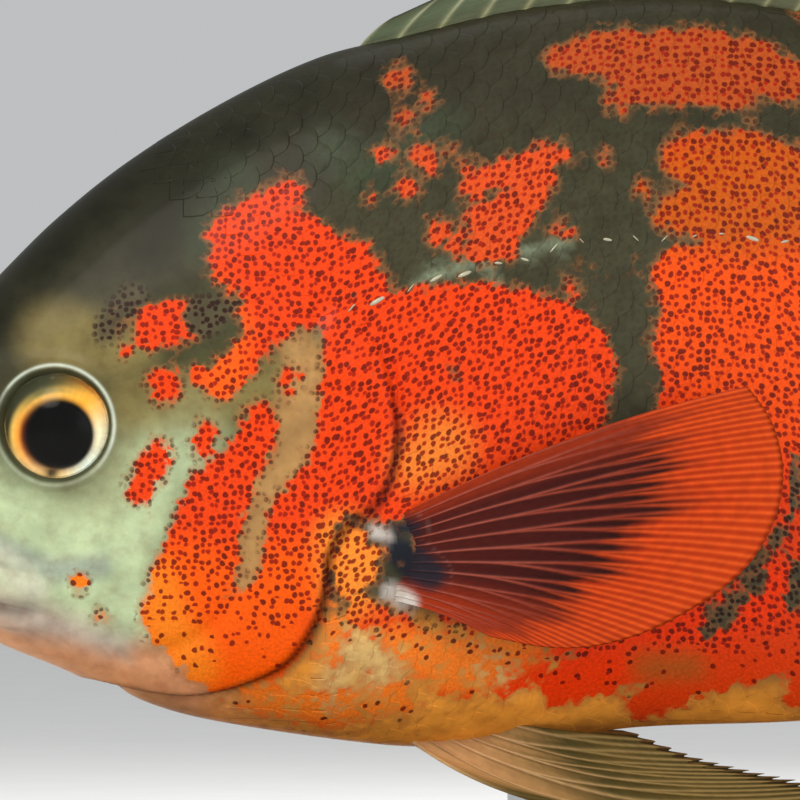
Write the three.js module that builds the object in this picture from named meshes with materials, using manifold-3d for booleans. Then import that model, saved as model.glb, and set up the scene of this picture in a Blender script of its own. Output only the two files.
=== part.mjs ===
// A life-size oscar fish held level on a museum stand, in millimetres, +Z up.
// The fish is drawn in its own frame: x runs back from the snout, y is positive to its right,
// and z is measured from the long axis of the body. Its group then sets it over the stand.
import * as THREE from "three";
import { mergeVertices } from "three/addons/utils/BufferGeometryUtils.js";
import Module from "manifold-3d";

const wasm = await Module();
wasm.setup();

// Driving sizes of the fish
const BODY_LENGTH = 220;
const AXIS_HEIGHT = 90;
const SEAM = 0.3;
const SNOUT = 1;
const SNOUT_ROUNDING = 6;
const BODY_STEPS = 42;
const BODY_SIDES = 28;
const STATION_CROWDING = 1.4;
const COVER_THICKNESS = 4;
const COVER_BULGE = 1;
const COVER_START = 1.2;

// Driving sizes of the stand
const ROD_STATION = 106;
const ROD_RADIUS = 2.5;
const BASE_LENGTH = 160;
const BASE_WIDTH = 92;
const BASE_HEIGHT = 14;
const BASE_CORNER = 14;
const BASE_CHAMFER = 1.6;
const SOCKET_DEPTH = 8;
const COLLAR_RADIUS = 6.5;
const COLLAR_HEIGHT = 3;

// A smooth function through [place, value] pairs, level beyond both ends.
function profile(points) {
  const last = points.length - 1;
  const slopes = points.map((_, i) => {
    const before = points[Math.max(i - 1, 0)];
    const after = points[Math.min(i + 1, last)];
    return (after[1] - before[1]) / (after[0] - before[0]);
  });
  return (place) => {
    if (place <= points[0][0]) return points[0][1];
    if (place >= points[last][0]) return points[last][1];
    const i = points.findIndex((p) => p[0] > place) - 1;
    const [x0, y0] = points[i];
    const [x1, y1] = points[i + 1];
    const span = x1 - x0;
    const t = (place - x0) / span;
    const rise = t * t * (3 - 2 * t);
    const leave = t * (1 - t) * (1 - t) * span * slopes[i];
    const arrive = t * t * (t - 1) * span * slopes[i + 1];
    return y0 + (y1 - y0) * rise + leave + arrive;
  };
}

// Outline of the body: heights of back, belly and widest level, and half the width, by station.
const back = profile([
  [-1, -8], [5, -4.5], [11.4, 2.6], [19, 11.1], [26.5, 19], [35, 27.4], [46, 36.2],
  [60.5, 45.2], [75, 52], [87, 55], [105, 59.2], [125, 61.2], [142, 60],
  [157, 57], [172, 51.2], [184, 44], [195, 35.4], [204, 28.2], [211.5, 24.2], [220, 22.8],
]);
const belly = profile([
  [-1, -24], [5, -25.2], [11.4, -28], [19, -31.9], [26.5, -35.8], [37, -40], [49, -45.9],
  [60, -48.8], [84, -52.2], [96, -52.5], [110, -51.3], [123.5, -49.6], [146, -48.8],
  [157, -47.8], [169, -45], [181, -40], [192, -33.2], [201, -26], [209, -20.6], [220, -18.5],
]);
const level = profile([[-1, -17], [15, -12], [36, -6], [60, -5], [85, -5], [120, -1], [160, 2], [220, 2]]);
const half = profile([
  [-1, 10], [6, 12], [15, 14], [26, 15.8], [36, 17.2], [50, 19.2], [65, 20.7], [80, 21.4], [95, 21.2],
  [115, 20], [135, 17.6], [155, 14.4], [175, 11], [195, 7.6], [210, 5.3], [220, 4.2],
]);
const roof = profile([[-1, 2.3], [20, 2.1], [60, 1.85], [120, 1.75], [190, 1.8], [220, 2.2]]);
const keel = profile([[-1, 2.2], [20, 1.95], [60, 2], [95, 2.25], [130, 2.1], [170, 1.8], [220, 2.2]]);
const mouth = profile([[-1, -16.4], [5, -20], [11.4, -23.3], [26.5, -30.2], [36, -32.2]]);

// Half width and heights of the body at a station; the snout closes in a quarter round.
function section(x, grow = 0) {
  const share = Math.min((x - SNOUT + grow) / (SNOUT_ROUNDING + grow), 1);
  const close = Math.sqrt(Math.max(1 - (1 - share) ** 2, 0));
  const mid = level(x);
  return {
    mid,
    up: (back(x) - mid) * close + grow,
    down: (mid - belly(x)) * close + grow,
    out: half(x) * close + grow,
    roof: roof(x),
    keel: keel(x),
  };
}

// The point of the body's skin at a station, turned down from the back by an angle.
function skinPoint(x, angle, grow = 0) {
  const s = section(x, grow);
  const rise = Math.cos(angle);
  const side = Math.sin(angle);
  const power = 2 / (rise > 0 ? s.roof : s.keel);
  const reach = (rise > 0 ? s.up : -s.down) * Math.abs(rise) ** power;
  return [x, Math.sign(side) * s.out * Math.abs(side) ** power, s.mid + reach];
}

// How far the skin stands out from the middle plane at a station and height.
function reachAt(x, z) {
  const s = section(x);
  const above = z > s.mid;
  const power = above ? s.roof : s.keel;
  const share = Math.min(Math.abs(z - s.mid) / (above ? s.up : s.down), 1);
  return s.out * (1 - share ** power) ** (1 / power);
}

// A closed geometry as a solid, turned outwards if its faces point in.
function solid(geometry) {
  const bare = new THREE.BufferGeometry();
  bare.setAttribute("position", geometry.getAttribute("position"));
  bare.setIndex(geometry.getIndex());
  const merged = mergeVertices(bare, 1e-4);
  const faces = [];
  const index = merged.getIndex().array;
  for (let i = 0; i < index.length; i += 3) {
    const [a, b, c] = index.slice(i, i + 3);
    if (a !== b && b !== c && c !== a) faces.push(a, b, c);
  }
  const make = (triVerts) =>
    new wasm.Manifold(
      new wasm.Mesh({
        numProp: 3,
        vertProperties: new Float32Array(merged.getAttribute("position").array),
        triVerts: new Uint32Array(triVerts),
      }),
    );
  const made = make(faces);
  return made.volume() > 0 ? made : make(faces.reverse());
}

// A sphere's mesh laid on any closed tube: place(turn, along) gives each point, both from 0 to 1.
function wrapped(sides, steps, place) {
  const geometry = new THREE.SphereGeometry(1, sides, steps);
  const position = geometry.getAttribute("position");
  for (let i = 0; i < position.count; i++) {
    const turn = (i % (sides + 1)) / sides;
    const along = Math.floor(i / (sides + 1)) / steps;
    position.setXYZ(i, ...place(turn % 1, along));
  }
  return solid(geometry);
}

// The whole trunk, from the snout's pole to the flat end that the tail fin stands on.
function trunk(grow = 0) {
  const start = SNOUT - grow;
  return wrapped(BODY_SIDES, BODY_STEPS, (turn, along) => {
    const share = Math.min((along * BODY_STEPS) / (BODY_STEPS - 1), 1);
    const x = start + (BODY_LENGTH - start) * share ** STATION_CROWDING;
    if (along === 0 || along === 1) return [x, 0, level(x)];
    return skinPoint(x, turn * 2 * Math.PI, grow);
  });
}

// A prism across the fish over an outline in its middle plane, each corner moved out by grow.
function prism(outline, grow = 0) {
  const points = outline.map(([x, z]) => new THREE.Vector2(x, z));
  const turn = THREE.ShapeUtils.isClockWise(points) ? -1 : 1;
  const moved = points.map((p, i) => {
    const before = points.at(i - 1);
    const after = points[(i + 1) % points.length];
    const along = after.clone().sub(before).normalize();
    return new THREE.Vector2(p.x + along.y * grow * turn, p.y - along.x * grow * turn);
  });
  const depth = 80;
  const geometry = new THREE.ExtrudeGeometry(new THREE.Shape(moved), { depth, bevelEnabled: false });
  geometry.rotateX(Math.PI / 2);
  geometry.translate(0, depth / 2, 0);
  return solid(geometry);
}

// Points of a smooth open curve through the given ones, in the middle plane.
function smooth(points, count) {
  const curve = new THREE.SplineCurve(points.map(([x, z]) => new THREE.Vector2(x, z)));
  return curve.getPoints(count).map((p) => [p.x, p.y]);
}

function largest(made) {
  return made.decompose().sort((a, b) => b.volume() - a.volume())[0];
}

// The gill opening, from the nape down the free edge of the gill cover to the throat.
const gillEdge = smooth([
  [71.5, 64], [74.5, 34], [79, 15], [84, 7.5], [86.4, -1], [86.4, -9], [83.8, -15.5], [79.5, -18.6],
  [76.6, -23], [76, -28], [74.4, -33.5], [70, -39.6], [63, -42.9], [56, -44.3], [48.7, -43.6], [40.5, -41.7],
  [30, -40],
], 44);
const headOutline = [...gillEdge, [-20, -40], [-20, 64]];

// The front edge of the gill cover, against the cheek.
const cheekEdge = smooth([
  [41, -38.6], [49.3, -38.2], [57.6, -35.2], [63, -28.6], [65.2, -20], [69, -12], [73.4, -4.4],
  [74.4, 3], [73.4, 8.5], [76, 14.5],
], 20);
const coverOutline = [...cheekEdge, [90, 14.5], [94, -20], [80, -50], [41, -50]];

// The lower jaw, under the line of the mouth and ahead of the jaw joint.
const jawOutline = [
  [-20, -10], [SNOUT, mouth(SNOUT)], [2, mouth(2)], [5, mouth(5)], [11, mouth(11)], [19, mouth(19)],
  [27, mouth(27)], [33, mouth(33)], [38.5, -36.5], [40, -50], [-20, -50],
];

const TAIL_STATION = 196;
const tailOutline = [[TAIL_STATION, 60], [TAIL_STATION, -60], [240, -60], [240, 60]];

// A lip is a tapered roll that follows the mouth from one corner round the snout to the other.
const LIP_CORNER = 34;
const LIP_RADIUS = 2.9;
const LIP_SINK = 0.95;
function lip(side) {
  const offset = 2.5 * side;
  const line = (along) => {
    const x = SNOUT + (LIP_CORNER - SNOUT) * Math.abs(2 * along - 1) ** 2;
    return new THREE.Vector3(x, Math.sign(along - 0.5) * section(x).out * LIP_SINK, mouth(x) + offset);
  };
  return wrapped(8, 26, (turn, along) => {
    const here = line(along);
    const ahead = line(Math.min(along + 0.01, 1)).sub(line(Math.max(along - 0.01, 0))).normalize();
    const rise = new THREE.Vector3(0, 0, 1).cross(ahead).normalize();
    const up = ahead.clone().cross(rise);
    const full = Math.sin(Math.PI * along);
    const radius = LIP_RADIUS * Math.sqrt(full) * (0.72 + 0.28 * full);
    const angle = turn * 2 * Math.PI;
    here.addScaledVector(rise, radius * 0.8 * Math.cos(angle));
    here.addScaledVector(up, radius * 1.15 * Math.sin(angle));
    return here.toArray();
  });
}

// The eye is a shallow dome in a ring of skin, its axis a little forward and up.
const EYE = { x: 35.6, z: -3.8, radius: 7.9, bulge: 2.7, depth: 5.5, seat: 0.5 };
const RIM = { radius: 8.7, thickness: 0.95 };
function onEyeAxis(geometry, side) {
  const axis = new THREE.Vector3(-0.14, side, 0.05).normalize();
  const turned = new THREE.Quaternion().setFromUnitVectors(new THREE.Vector3(0, 1, 0), axis);
  geometry.applyQuaternion(turned);
  geometry.translate(EYE.x, side * (reachAt(EYE.x, EYE.z) - EYE.seat), EYE.z);
  return solid(geometry);
}
function eye(side, grow = 0) {
  const dome = [];
  const steps = 5;
  const ball = (EYE.radius ** 2 + EYE.bulge ** 2) / (2 * EYE.bulge);
  for (let i = 0; i <= steps; i++) {
    const r = (EYE.radius + grow) * (1 - i / steps);
    dome.push(new THREE.Vector2(r, Math.sqrt(ball ** 2 - r ** 2) - ball + EYE.bulge + grow));
  }
  dome[steps].x = 0;
  const cup = [new THREE.Vector2(0, -EYE.depth - grow), new THREE.Vector2(5.6 + grow, -EYE.depth - grow)];
  return onEyeAxis(new THREE.LatheGeometry([...cup, ...dome], 24), side);
}
function eyeRim(side) {
  const ring = new THREE.TorusGeometry(RIM.radius, RIM.thickness, 6, 24);
  ring.rotateX(Math.PI / 2);
  return onEyeAxis(ring, side);
}

// One nostril on each side of the snout: a raised ring round a pit.
const NOSTRIL = { x: 17, z: 1.6, ring: 1.25, thickness: 0.55, pit: 0.95 };
function onSnout(geometry, side) {
  geometry.rotateX(side * -0.62);
  geometry.translate(NOSTRIL.x, side * (reachAt(NOSTRIL.x, NOSTRIL.z) - 0.1), NOSTRIL.z);
  return solid(geometry);
}
function nostrilRing(side) {
  return onSnout(new THREE.TorusGeometry(NOSTRIL.ring, NOSTRIL.thickness, 5, 12).rotateX(Math.PI / 2), side);
}
function nostrilPit(side) {
  return onSnout(new THREE.SphereGeometry(NOSTRIL.pit, 10, 6), side);
}

// A fin is one sheet of rays: ray(i, t) is the point at share t of ray i, which may be between two.
// Each ray is a ridge raised on both faces, and the web between the rays is cut back at its edge.
function fin({ count, rows, ray, crest, web, notch = 0.02, ridge = 0.17 }) {
  const columns = [];
  for (let i = 0; i < count; i++) {
    columns.push({ at: i - ridge, top: false }, { at: i, top: true }, { at: i + ridge, top: false });
  }
  const spots = columns.flatMap(({ at, top }) => {
    const made = [];
    for (let row = 0; row <= rows; row++) {
      const t = (row / rows) * (top ? 1 : 1 - notch);
      const here = ray(at, t);
      const across = ray(at + 0.1, t).sub(ray(at - 0.1, t));
      const along = ray(at, t + 0.02).sub(ray(at, t - 0.02));
      const normal = across.cross(along).normalize();
      made.push({ here, normal, thick: (top ? crest : web)(t, at) });
    }
    return made;
  });
  const face = (way) => spots.map((s) => s.here.clone().addScaledVector(s.normal, way * s.thick));
  const points = [...face(1), ...face(-1)];
  const wide = rows + 1;
  const other = spots.length;
  const index = [];
  for (let c = 0; c < columns.length - 1; c++) {
    for (let r = 0; r < rows; r++) {
      const a = c * wide + r;
      const [b, d, e] = [a + 1, a + wide, a + wide + 1];
      index.push(a, b, e, a, e, d);
      index.push(a + other, e + other, b + other, a + other, d + other, e + other);
    }
  }
  const rim = [];
  for (let r = 0; r < rows; r++) rim.push(r);
  for (let c = 0; c < columns.length - 1; c++) rim.push(c * wide + rows);
  for (let r = rows; r > 0; r--) rim.push((columns.length - 1) * wide + r);
  for (let c = columns.length - 1; c > 0; c--) rim.push(c * wide);
  rim.forEach((from, i) => {
    const to = rim[(i + 1) % rim.length];
    index.push(from, from + other, to + other, from, to + other, to);
  });
  const geometry = new THREE.BufferGeometry().setFromPoints(points);
  geometry.setIndex(index);
  return solid(geometry);
}

// A ray that starts at root, leaves at an angle over the horizontal and bends by the end.
function bentRay(root, degrees, length, bend, t) {
  const angle = THREE.MathUtils.degToRad(degrees + bend * (t - 0.5));
  return [root[0] + Math.cos(angle) * length * t, root[1] + Math.sin(angle) * length * t];
}

const WEB = 0.27;
const webOf = (base) => (t) => WEB - 0.1 * t + base * Math.max(1 - 7 * t, 0);
const crestOf = (base, ray) => (t) => WEB + ray * (1 - t) ** 0.7 + base * Math.max(1 - 7 * t, 0);

// Dorsal fin: 13 spines, then 20 soft rays that form a rounded lobe over the tail.
const DORSAL = { first: 80.5, last: 201, spines: 13, count: 33 };
function dorsalFin() {
  const station = profile([[0, DORSAL.first], [12, 151], [32, DORSAL.last]]);
  const length = profile([
    [0, 7], [1, 11], [2, 14.5], [4, 19], [8, 22.5], [12, 25], [18, 35], [24, 45], [28, 44], [32, 27],
  ]);
  const lean = profile([[0, 50], [6, 53], [12, 48], [18, 38], [24, 24], [28, 13], [32, 0]]);
  return fin({
    count: DORSAL.count,
    rows: 5,
    ray: (i, t) => {
      const x = station(i);
      const [px, pz] = bentRay([x, back(x) + SEAM], lean(i), length(i), -14, t);
      const sway = (i / DORSAL.count) ** 2 * 5 * t * t;
      return new THREE.Vector3(px, sway, pz);
    },
    crest: crestOf(0.7, 0.5),
    web: webOf(0.7),
    notch: 0.07,
  });
}

// Anal fin: 3 spines and 16 soft rays.
const ANAL = { first: 148, last: 198, count: 19 };
function analFin() {
  const station = profile([[0, ANAL.first], [9, 172], [18, ANAL.last]]);
  const length = profile([[0, 7], [1, 12], [2, 17], [4, 25], [9, 40], [13, 45], [16, 40], [18, 26]]);
  const lean = profile([[0, -58], [4, -52], [9, -38], [13, -24], [16, -12], [18, -2]]);
  return fin({
    count: ANAL.count,
    rows: 5,
    ray: (i, t) => {
      const x = station(i);
      const [px, pz] = bentRay([x, belly(x) - SEAM], lean(i), length(i), 14, t);
      return new THREE.Vector3(px, -3 * (i / ANAL.count) * t * t, pz);
    },
    crest: crestOf(0.7, 0.45),
    web: webOf(0.7),
    notch: 0.05,
  });
}

// Tail fin: a rounded fan on the flat end of the trunk.
const TAIL = { count: 18, top: 21, bottom: -16.6, spread: 19, length: 47, edge: 36 };
function tailFin() {
  const middle = (TAIL.count - 1) / 2;
  return fin({
    count: TAIL.count,
    rows: 5,
    ray: (i, t) => {
      const share = (i - middle) / middle;
      const mid = (TAIL.top + TAIL.bottom) / 2;
      const root = [BODY_LENGTH + SEAM, mid + (share * (TAIL.top - TAIL.bottom)) / 2];
      const length = TAIL.length - (TAIL.length - TAIL.edge) * Math.abs(share) ** 2.6;
      const [px, pz] = bentRay(root, share * TAIL.spread, length, -12 * share, t);
      return new THREE.Vector3(px, 4.5 * t * t, pz);
    },
    crest: (t) => WEB + 0.5 * (1 - t) ** 0.7 + 2.6 * Math.max(1 - 5 * t, 0),
    web: (t) => WEB - 0.1 * t + 2.4 * Math.max(1 - 5 * t, 0),
  });
}

// Pectoral fin: a fan of 14 rays on a short muscular base, held a little out from the flank.
const PECTORAL = { count: 14, x: 91.5, root: 87.5, top: -16.6, bottom: -30.4, centre: -23.8, lift: 1.2 };
const PECTORAL_LOBE = { x: 89.5, length: 7.5, depth: 2.8, height: 8.2 };
function pectoralFin(side, flare) {
  const rise = (i) => 28.6 - 3.6 * i - 0.2 * i * i;
  const reach = profile([[0, 54], [2, 55], [4, 53.5], [6, 48], [8, 38], [10, 28], [12, 18], [13, 14.5]]);
  const out = THREE.MathUtils.degToRad(flare);
  const sheet = fin({
    count: PECTORAL.count,
    rows: 5,
    ray: (i, t) => {
      const share = i / (PECTORAL.count - 1);
      const drop = (PECTORAL.bottom - PECTORAL.top) * share;
      const root = new THREE.Vector2(PECTORAL.root + 0.8 * share, PECTORAL.top + drop);
      const angle = THREE.MathUtils.degToRad(rise(i));
      const tip = new THREE.Vector2(
        PECTORAL.x + reach(i) * Math.cos(angle),
        PECTORAL.centre + reach(i) * Math.sin(angle),
      );
      const here = root.clone().lerp(tip, t);
      const arch = 0.16 * t * (1 - t) * reach(i);
      const stand = reachAt(PECTORAL.x, PECTORAL.centre) + PECTORAL.lift;
      const away = Math.sin(out) * reach(i) * t * (1.15 - 0.25 * t);
      return new THREE.Vector3(here.x, side * (stand + away), here.y + arch);
    },
    crest: crestOf(0.8, 0.34),
    web: webOf(0.6),
  });
  const { x, length, depth, height } = PECTORAL_LOBE;
  const lobe = new THREE.SphereGeometry(1, 14, 8).scale(length, depth, height).rotateZ(side * out * 0.7);
  lobe.translate(x, side * (reachAt(x, PECTORAL.centre) + 0.1), PECTORAL.centre);
  return largest(solid(lobe).add(sheet).subtract(trunk(SEAM)));
}

// Pelvic fin: one spine and 5 rays that drop from the belly and then stream back level.
const PELVIC = { count: 6, root: 3.6 };
function pelvicFin(side, flare) {
  const tipX = profile([[0, 116], [1, 155], [2, 151], [3, 142], [4, 132.5], [5, 122.5]]);
  const tipZ = profile([[0, -62.5], [1, -61.4], [2, -59], [3, -57], [4, -54.6], [5, -50.6]]);
  const sag = profile([[0, 3], [1, 9], [2, 6.6], [3, 4.4], [4, 2.8], [5, 0.8]]);
  const away = profile([[0, 6], [1, 12], [2, 12], [3, 11], [4, 9.5], [5, 8]]);
  return largest(
    fin({
      count: PELVIC.count,
      rows: 7,
      ray: (i, t) => {
        const root = new THREE.Vector3(86 + 1.9 * i, PELVIC.root, -49.5 + 0.5 * i);
        const tip = new THREE.Vector3(tipX(i), PELVIC.root + away(i) * flare, tipZ(i));
        const here = root.lerp(tip, t);
        here.z -= sag(i) * 4 * t * (1 - t) * (1 - 0.4 * t);
        here.y += 2.4 * Math.sin(Math.PI * Math.min(Math.max(t, 0), 1)) * (1 - i / 12);
        return here.multiply(new THREE.Vector3(1, side, 1));
      },
      crest: crestOf(0.9, 0.55),
      web: webOf(0.7),
      notch: 0.05,
    }).subtract(trunk(SEAM)),
  );
}

// The trunk with its raised parts, then parted at the gill opening, mouth, covers and tail.
function bodyParts() {
  let whole = trunk().add(lip(1)).add(lip(-1));
  for (const side of [-1, 1]) {
    whole = whole.add(eyeRim(side)).subtract(eye(side, SEAM));
    whole = whole.add(nostrilRing(side)).subtract(nostrilPit(side));
  }
  const coverShell = prism(coverOutline, SEAM).subtract(trunk(-COVER_THICKNESS - SEAM));
  const frontOfGills = whole.intersect(prism(headOutline));
  const skull = frontOfGills.subtract(coverShell);
  const behindGills = whole.subtract(prism(headOutline, SEAM));
  const covers = trunk(COVER_BULGE)
    .subtract(trunk(-COVER_THICKNESS))
    .intersect(prism(coverOutline))
    .intersect(prism(headOutline));
  const sideOf = (side) => {
    const width = 40;
    const slab = new THREE.BoxGeometry(120, width, 120).translate(60, side * (width / 2 + COVER_START), 0);
    return largest(covers.intersect(solid(slab)));
  };
  return {
    head: largest(skull.subtract(prism(jawOutline, SEAM))),
    lower_jaw: largest(skull.intersect(prism(jawOutline))),
    gill_cover_left: sideOf(-1),
    gill_cover_right: sideOf(1),
    torso: largest(behindGills.subtract(prism(tailOutline, SEAM))),
    tail_stalk: largest(behindGills.intersect(prism(tailOutline))),
  };
}

// A flat plinth with round corners and a chamfer, bored for the rod.
function standBase() {
  const [w, d, r] = [BASE_LENGTH / 2 - BASE_CHAMFER, BASE_WIDTH / 2 - BASE_CHAMFER, BASE_CORNER];
  const shape = new THREE.Shape();
  shape.absarc(w - r, d - r, r, 0, Math.PI / 2);
  shape.absarc(r - w, d - r, r, Math.PI / 2, Math.PI);
  shape.absarc(r - w, r - d, r, Math.PI, 1.5 * Math.PI);
  shape.absarc(w - r, r - d, r, 1.5 * Math.PI, 2 * Math.PI);
  const plinth = new THREE.ExtrudeGeometry(shape, {
    depth: BASE_HEIGHT - 2 * BASE_CHAMFER,
    curveSegments: 4,
    bevelSize: BASE_CHAMFER,
    bevelThickness: BASE_CHAMFER,
    bevelSegments: 1,
  });
  plinth.translate(0, 0, BASE_CHAMFER);
  return solid(plinth).subtract(upright(ROD_RADIUS + SEAM, BASE_HEIGHT - SOCKET_DEPTH, BASE_HEIGHT + 1));
}

function upright(radius, from, to) {
  const rod = new THREE.CylinderGeometry(radius, radius, to - from, 20).rotateX(Math.PI / 2);
  return solid(rod.translate(0, 0, (from + to) / 2));
}

function standRod() {
  const lifted = trunk(SEAM).translate([-ROD_STATION, 0, AXIS_HEIGHT]);
  const foot = BASE_HEIGHT - SOCKET_DEPTH + SEAM;
  return largest(upright(ROD_RADIUS, foot, AXIS_HEIGHT + belly(ROD_STATION) + 6).subtract(lifted));
}

function standCollar() {
  const [inner, outer] = [ROD_RADIUS + SEAM, COLLAR_RADIUS];
  const [foot, top] = [BASE_HEIGHT + SEAM, BASE_HEIGHT + SEAM + COLLAR_HEIGHT];
  const outline = [
    [inner, foot], [outer, foot], [outer, top - 1], [outer - 1, top], [inner, top], [inner, foot],
  ];
  const ring = new THREE.LatheGeometry(outline.map(([r, z]) => new THREE.Vector2(r, z)), 20);
  return solid(ring.rotateX(Math.PI / 2));
}

function finish(color, roughness, metalness = 0) {
  return new THREE.MeshStandardMaterial({ color, roughness, metalness, flatShading: true });
}
const looks = {
  olive: finish("#6f7354", 0.45),
  pale: finish("#a9b392", 0.45),
  orange: finish("#e2561c", 0.42),
  rust: finish("#a8542a", 0.45),
  smoke: finish("#7c7f5c", 0.5),
  wine: finish("#8a2f1a", 0.45),
  eye: finish("#17130f", 0.12),
  wood: finish("#3b2a1e", 0.4),
  steel: finish("#b9bcbe", 0.28, 1),
};

function mesh(name, made, look) {
  const { vertProperties, triVerts } = made.getMesh();
  const geometry = new THREE.BufferGeometry();
  geometry.setAttribute("position", new THREE.BufferAttribute(vertProperties, 3));
  geometry.setIndex(new THREE.BufferAttribute(triVerts, 1));
  geometry.computeVertexNormals();
  const made3d = new THREE.Mesh(geometry, look);
  made3d.name = name;
  return made3d;
}

const fish = new THREE.Group();
fish.position.set(-ROD_STATION, 0, AXIS_HEIGHT);
const body = bodyParts();
fish.add(
  mesh("head", body.head, looks.olive),
  mesh("lower_jaw", body.lower_jaw, looks.pale),
  mesh("gill_cover_left", body.gill_cover_left, looks.orange),
  mesh("gill_cover_right", body.gill_cover_right, looks.orange),
  mesh("torso", body.torso, looks.rust),
  mesh("tail_stalk", body.tail_stalk, looks.olive),
  mesh("dorsal_fin", dorsalFin(), looks.smoke),
  mesh("anal_fin", analFin(), looks.smoke),
  mesh("tail_fin", tailFin(), looks.smoke),
  mesh("pectoral_fin_left", pectoralFin(-1, 13), looks.wine),
  mesh("pectoral_fin_right", pectoralFin(1, 20), looks.wine),
  mesh("pelvic_fin_left", pelvicFin(-1, 1), looks.smoke),
  mesh("pelvic_fin_right", pelvicFin(1, 1.15), looks.smoke),
  mesh("eye_left", eye(-1), looks.eye),
  mesh("eye_right", eye(1), looks.eye),
);

const stand = new THREE.Group();
stand.add(
  mesh("stand_base", standBase(), looks.wood),
  mesh("stand_rod", standRod(), looks.steel),
  mesh("stand_collar", standCollar(), looks.steel),
);

const model = new THREE.Group();
model.add(fish, stand);
export default model;
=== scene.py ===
"""The looks of a life-size oscar fish held level on a wooden stand.

The fish is drawn in millimetres in its own frame: x runs back from the snout, y is positive to its right,
and z is measured from the long axis of its body. Every piece is moved over the stand, in metres, at the end.
"""

import math

import bmesh
import bpy
import numpy as np
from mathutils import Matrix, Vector

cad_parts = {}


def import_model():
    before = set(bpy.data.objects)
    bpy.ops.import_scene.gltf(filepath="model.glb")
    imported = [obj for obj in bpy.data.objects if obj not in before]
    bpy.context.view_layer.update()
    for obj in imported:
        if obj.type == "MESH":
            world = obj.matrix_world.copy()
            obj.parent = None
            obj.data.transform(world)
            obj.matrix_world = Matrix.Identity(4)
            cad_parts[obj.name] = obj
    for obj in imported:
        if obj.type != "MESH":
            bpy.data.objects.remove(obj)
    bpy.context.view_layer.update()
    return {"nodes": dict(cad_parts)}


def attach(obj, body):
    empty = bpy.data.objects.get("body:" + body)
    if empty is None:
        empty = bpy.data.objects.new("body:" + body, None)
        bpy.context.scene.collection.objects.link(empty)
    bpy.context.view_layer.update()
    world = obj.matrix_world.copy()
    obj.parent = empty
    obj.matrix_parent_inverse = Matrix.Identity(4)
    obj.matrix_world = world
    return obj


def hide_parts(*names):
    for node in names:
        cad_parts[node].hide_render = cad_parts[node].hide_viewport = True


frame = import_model()

MM = 0.001
ROD_STATION = 106
AXIS_HEIGHT = 90
BODY_LENGTH = 220
SNOUT = 1
SNOUT_ROUNDING = 6

# The photograph: a pixel's size at the fish, how far left of it the snout lies, and its width and middle row.
PIXEL = 0.1517
SNOUT_PIXELS = 175
PHOTO_PIXELS = 800
MIDDLE_PIXEL = PHOTO_PIXELS / 2

SEED = 7

# The right side's dots are drawn this far along the same pattern, in mm, so that they don't mirror the left's.
FAR = 400


# Shared helpers

def world(points):
    """Metres in the model's frame from millimetres in the fish's."""
    return (np.asarray(points, float) + (-ROD_STATION, 0, AXIS_HEIGHT)) * MM


def linear(code):
    """A linear colour from an sRGB hex code."""
    parts = [int(code[i : i + 2], 16) / 255 for i in (1, 3, 5)]
    return np.array([c / 12.92 if c <= 0.04045 else ((c + 0.055) / 1.055) ** 2.4 for c in parts] + [1.0])


def ease(value, low, high):
    """0 below low, 1 above high and a smooth step between."""
    t = np.clip((value - low) / (high - low), 0, 1)
    return t * t * (3 - 2 * t)


def bell(value, width):
    """1 at 0, and a smooth fall to either side."""
    return np.exp(-((value / width) ** 2))


def profile(points):
    """A smooth function through (place, value) pairs, level beyond both ends."""
    places, values = np.array(points, float).T
    slopes = np.gradient(values, places)
    slopes[1:-1] = (values[2:] - values[:-2]) / (places[2:] - places[:-2])

    def at(place):
        place = np.clip(place, places[0], places[-1])
        i = np.clip(np.searchsorted(places, place, side="right") - 1, 0, len(places) - 2)
        span = places[i + 1] - places[i]
        t = (place - places[i]) / span
        rise = t * t * (3 - 2 * t)
        leave = t * (1 - t) ** 2 * span * slopes[i]
        arrive = t * t * (t - 1) * span * slopes[i + 1]
        return values[i] + (values[i + 1] - values[i]) * rise + leave + arrive

    return at


def sided(name, side):
    """A piece's or a node's name on the right side of the fish, or on the left."""
    return f"{name}_{'right' if side > 0 else 'left'}"


# The body's form, by station: heights of the back, the belly, the widest level and the mouth, half the width,
# and how square the section is over (roof) and under (keel) its widest level.

back = profile([
    (-1, -8), (5, -4.5), (11.4, 2.6), (19, 11.1), (26.5, 19), (35, 27.4), (46, 36.2),
    (60.5, 45.2), (75, 52), (87, 55), (105, 59.2), (125, 61.2), (142, 60),
    (157, 57), (172, 51.2), (184, 44), (195, 35.4), (204, 28.2), (211.5, 24.2), (220, 22.8),
])
belly = profile([
    (-1, -24), (5, -25.2), (11.4, -28), (19, -31.9), (26.5, -35.8), (37, -40), (49, -45.9),
    (60, -48.8), (84, -52.2), (96, -52.5), (110, -51.3), (123.5, -49.6), (146, -48.8),
    (157, -47.8), (169, -45), (181, -40), (192, -33.2), (201, -26), (209, -20.6), (220, -18.5),
])
level = profile([(-1, -17), (15, -12), (36, -6), (60, -5), (85, -5), (120, -1), (160, 2), (220, 2)])
half = profile([
    (-1, 10), (6, 12), (15, 14), (26, 15.8), (36, 17.2), (50, 19.2), (65, 20.7), (80, 21.4), (95, 21.2),
    (115, 20), (135, 17.6), (155, 14.4), (175, 11), (195, 7.6), (210, 5.3), (220, 4.2),
])
roof = profile([(-1, 2.3), (20, 2.1), (60, 1.85), (120, 1.75), (190, 1.8), (220, 2.2)])
keel = profile([(-1, 2.2), (20, 1.95), (60, 2), (95, 2.25), (130, 2.1), (170, 1.8), (220, 2.2)])
mouth = profile([(-1, -16.4), (5, -20), (11.4, -23.3), (26.5, -30.2), (36, -32.2)])
MOUTH_ROW = 0.72 * math.pi
MOUTH_CORNER = 34

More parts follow.
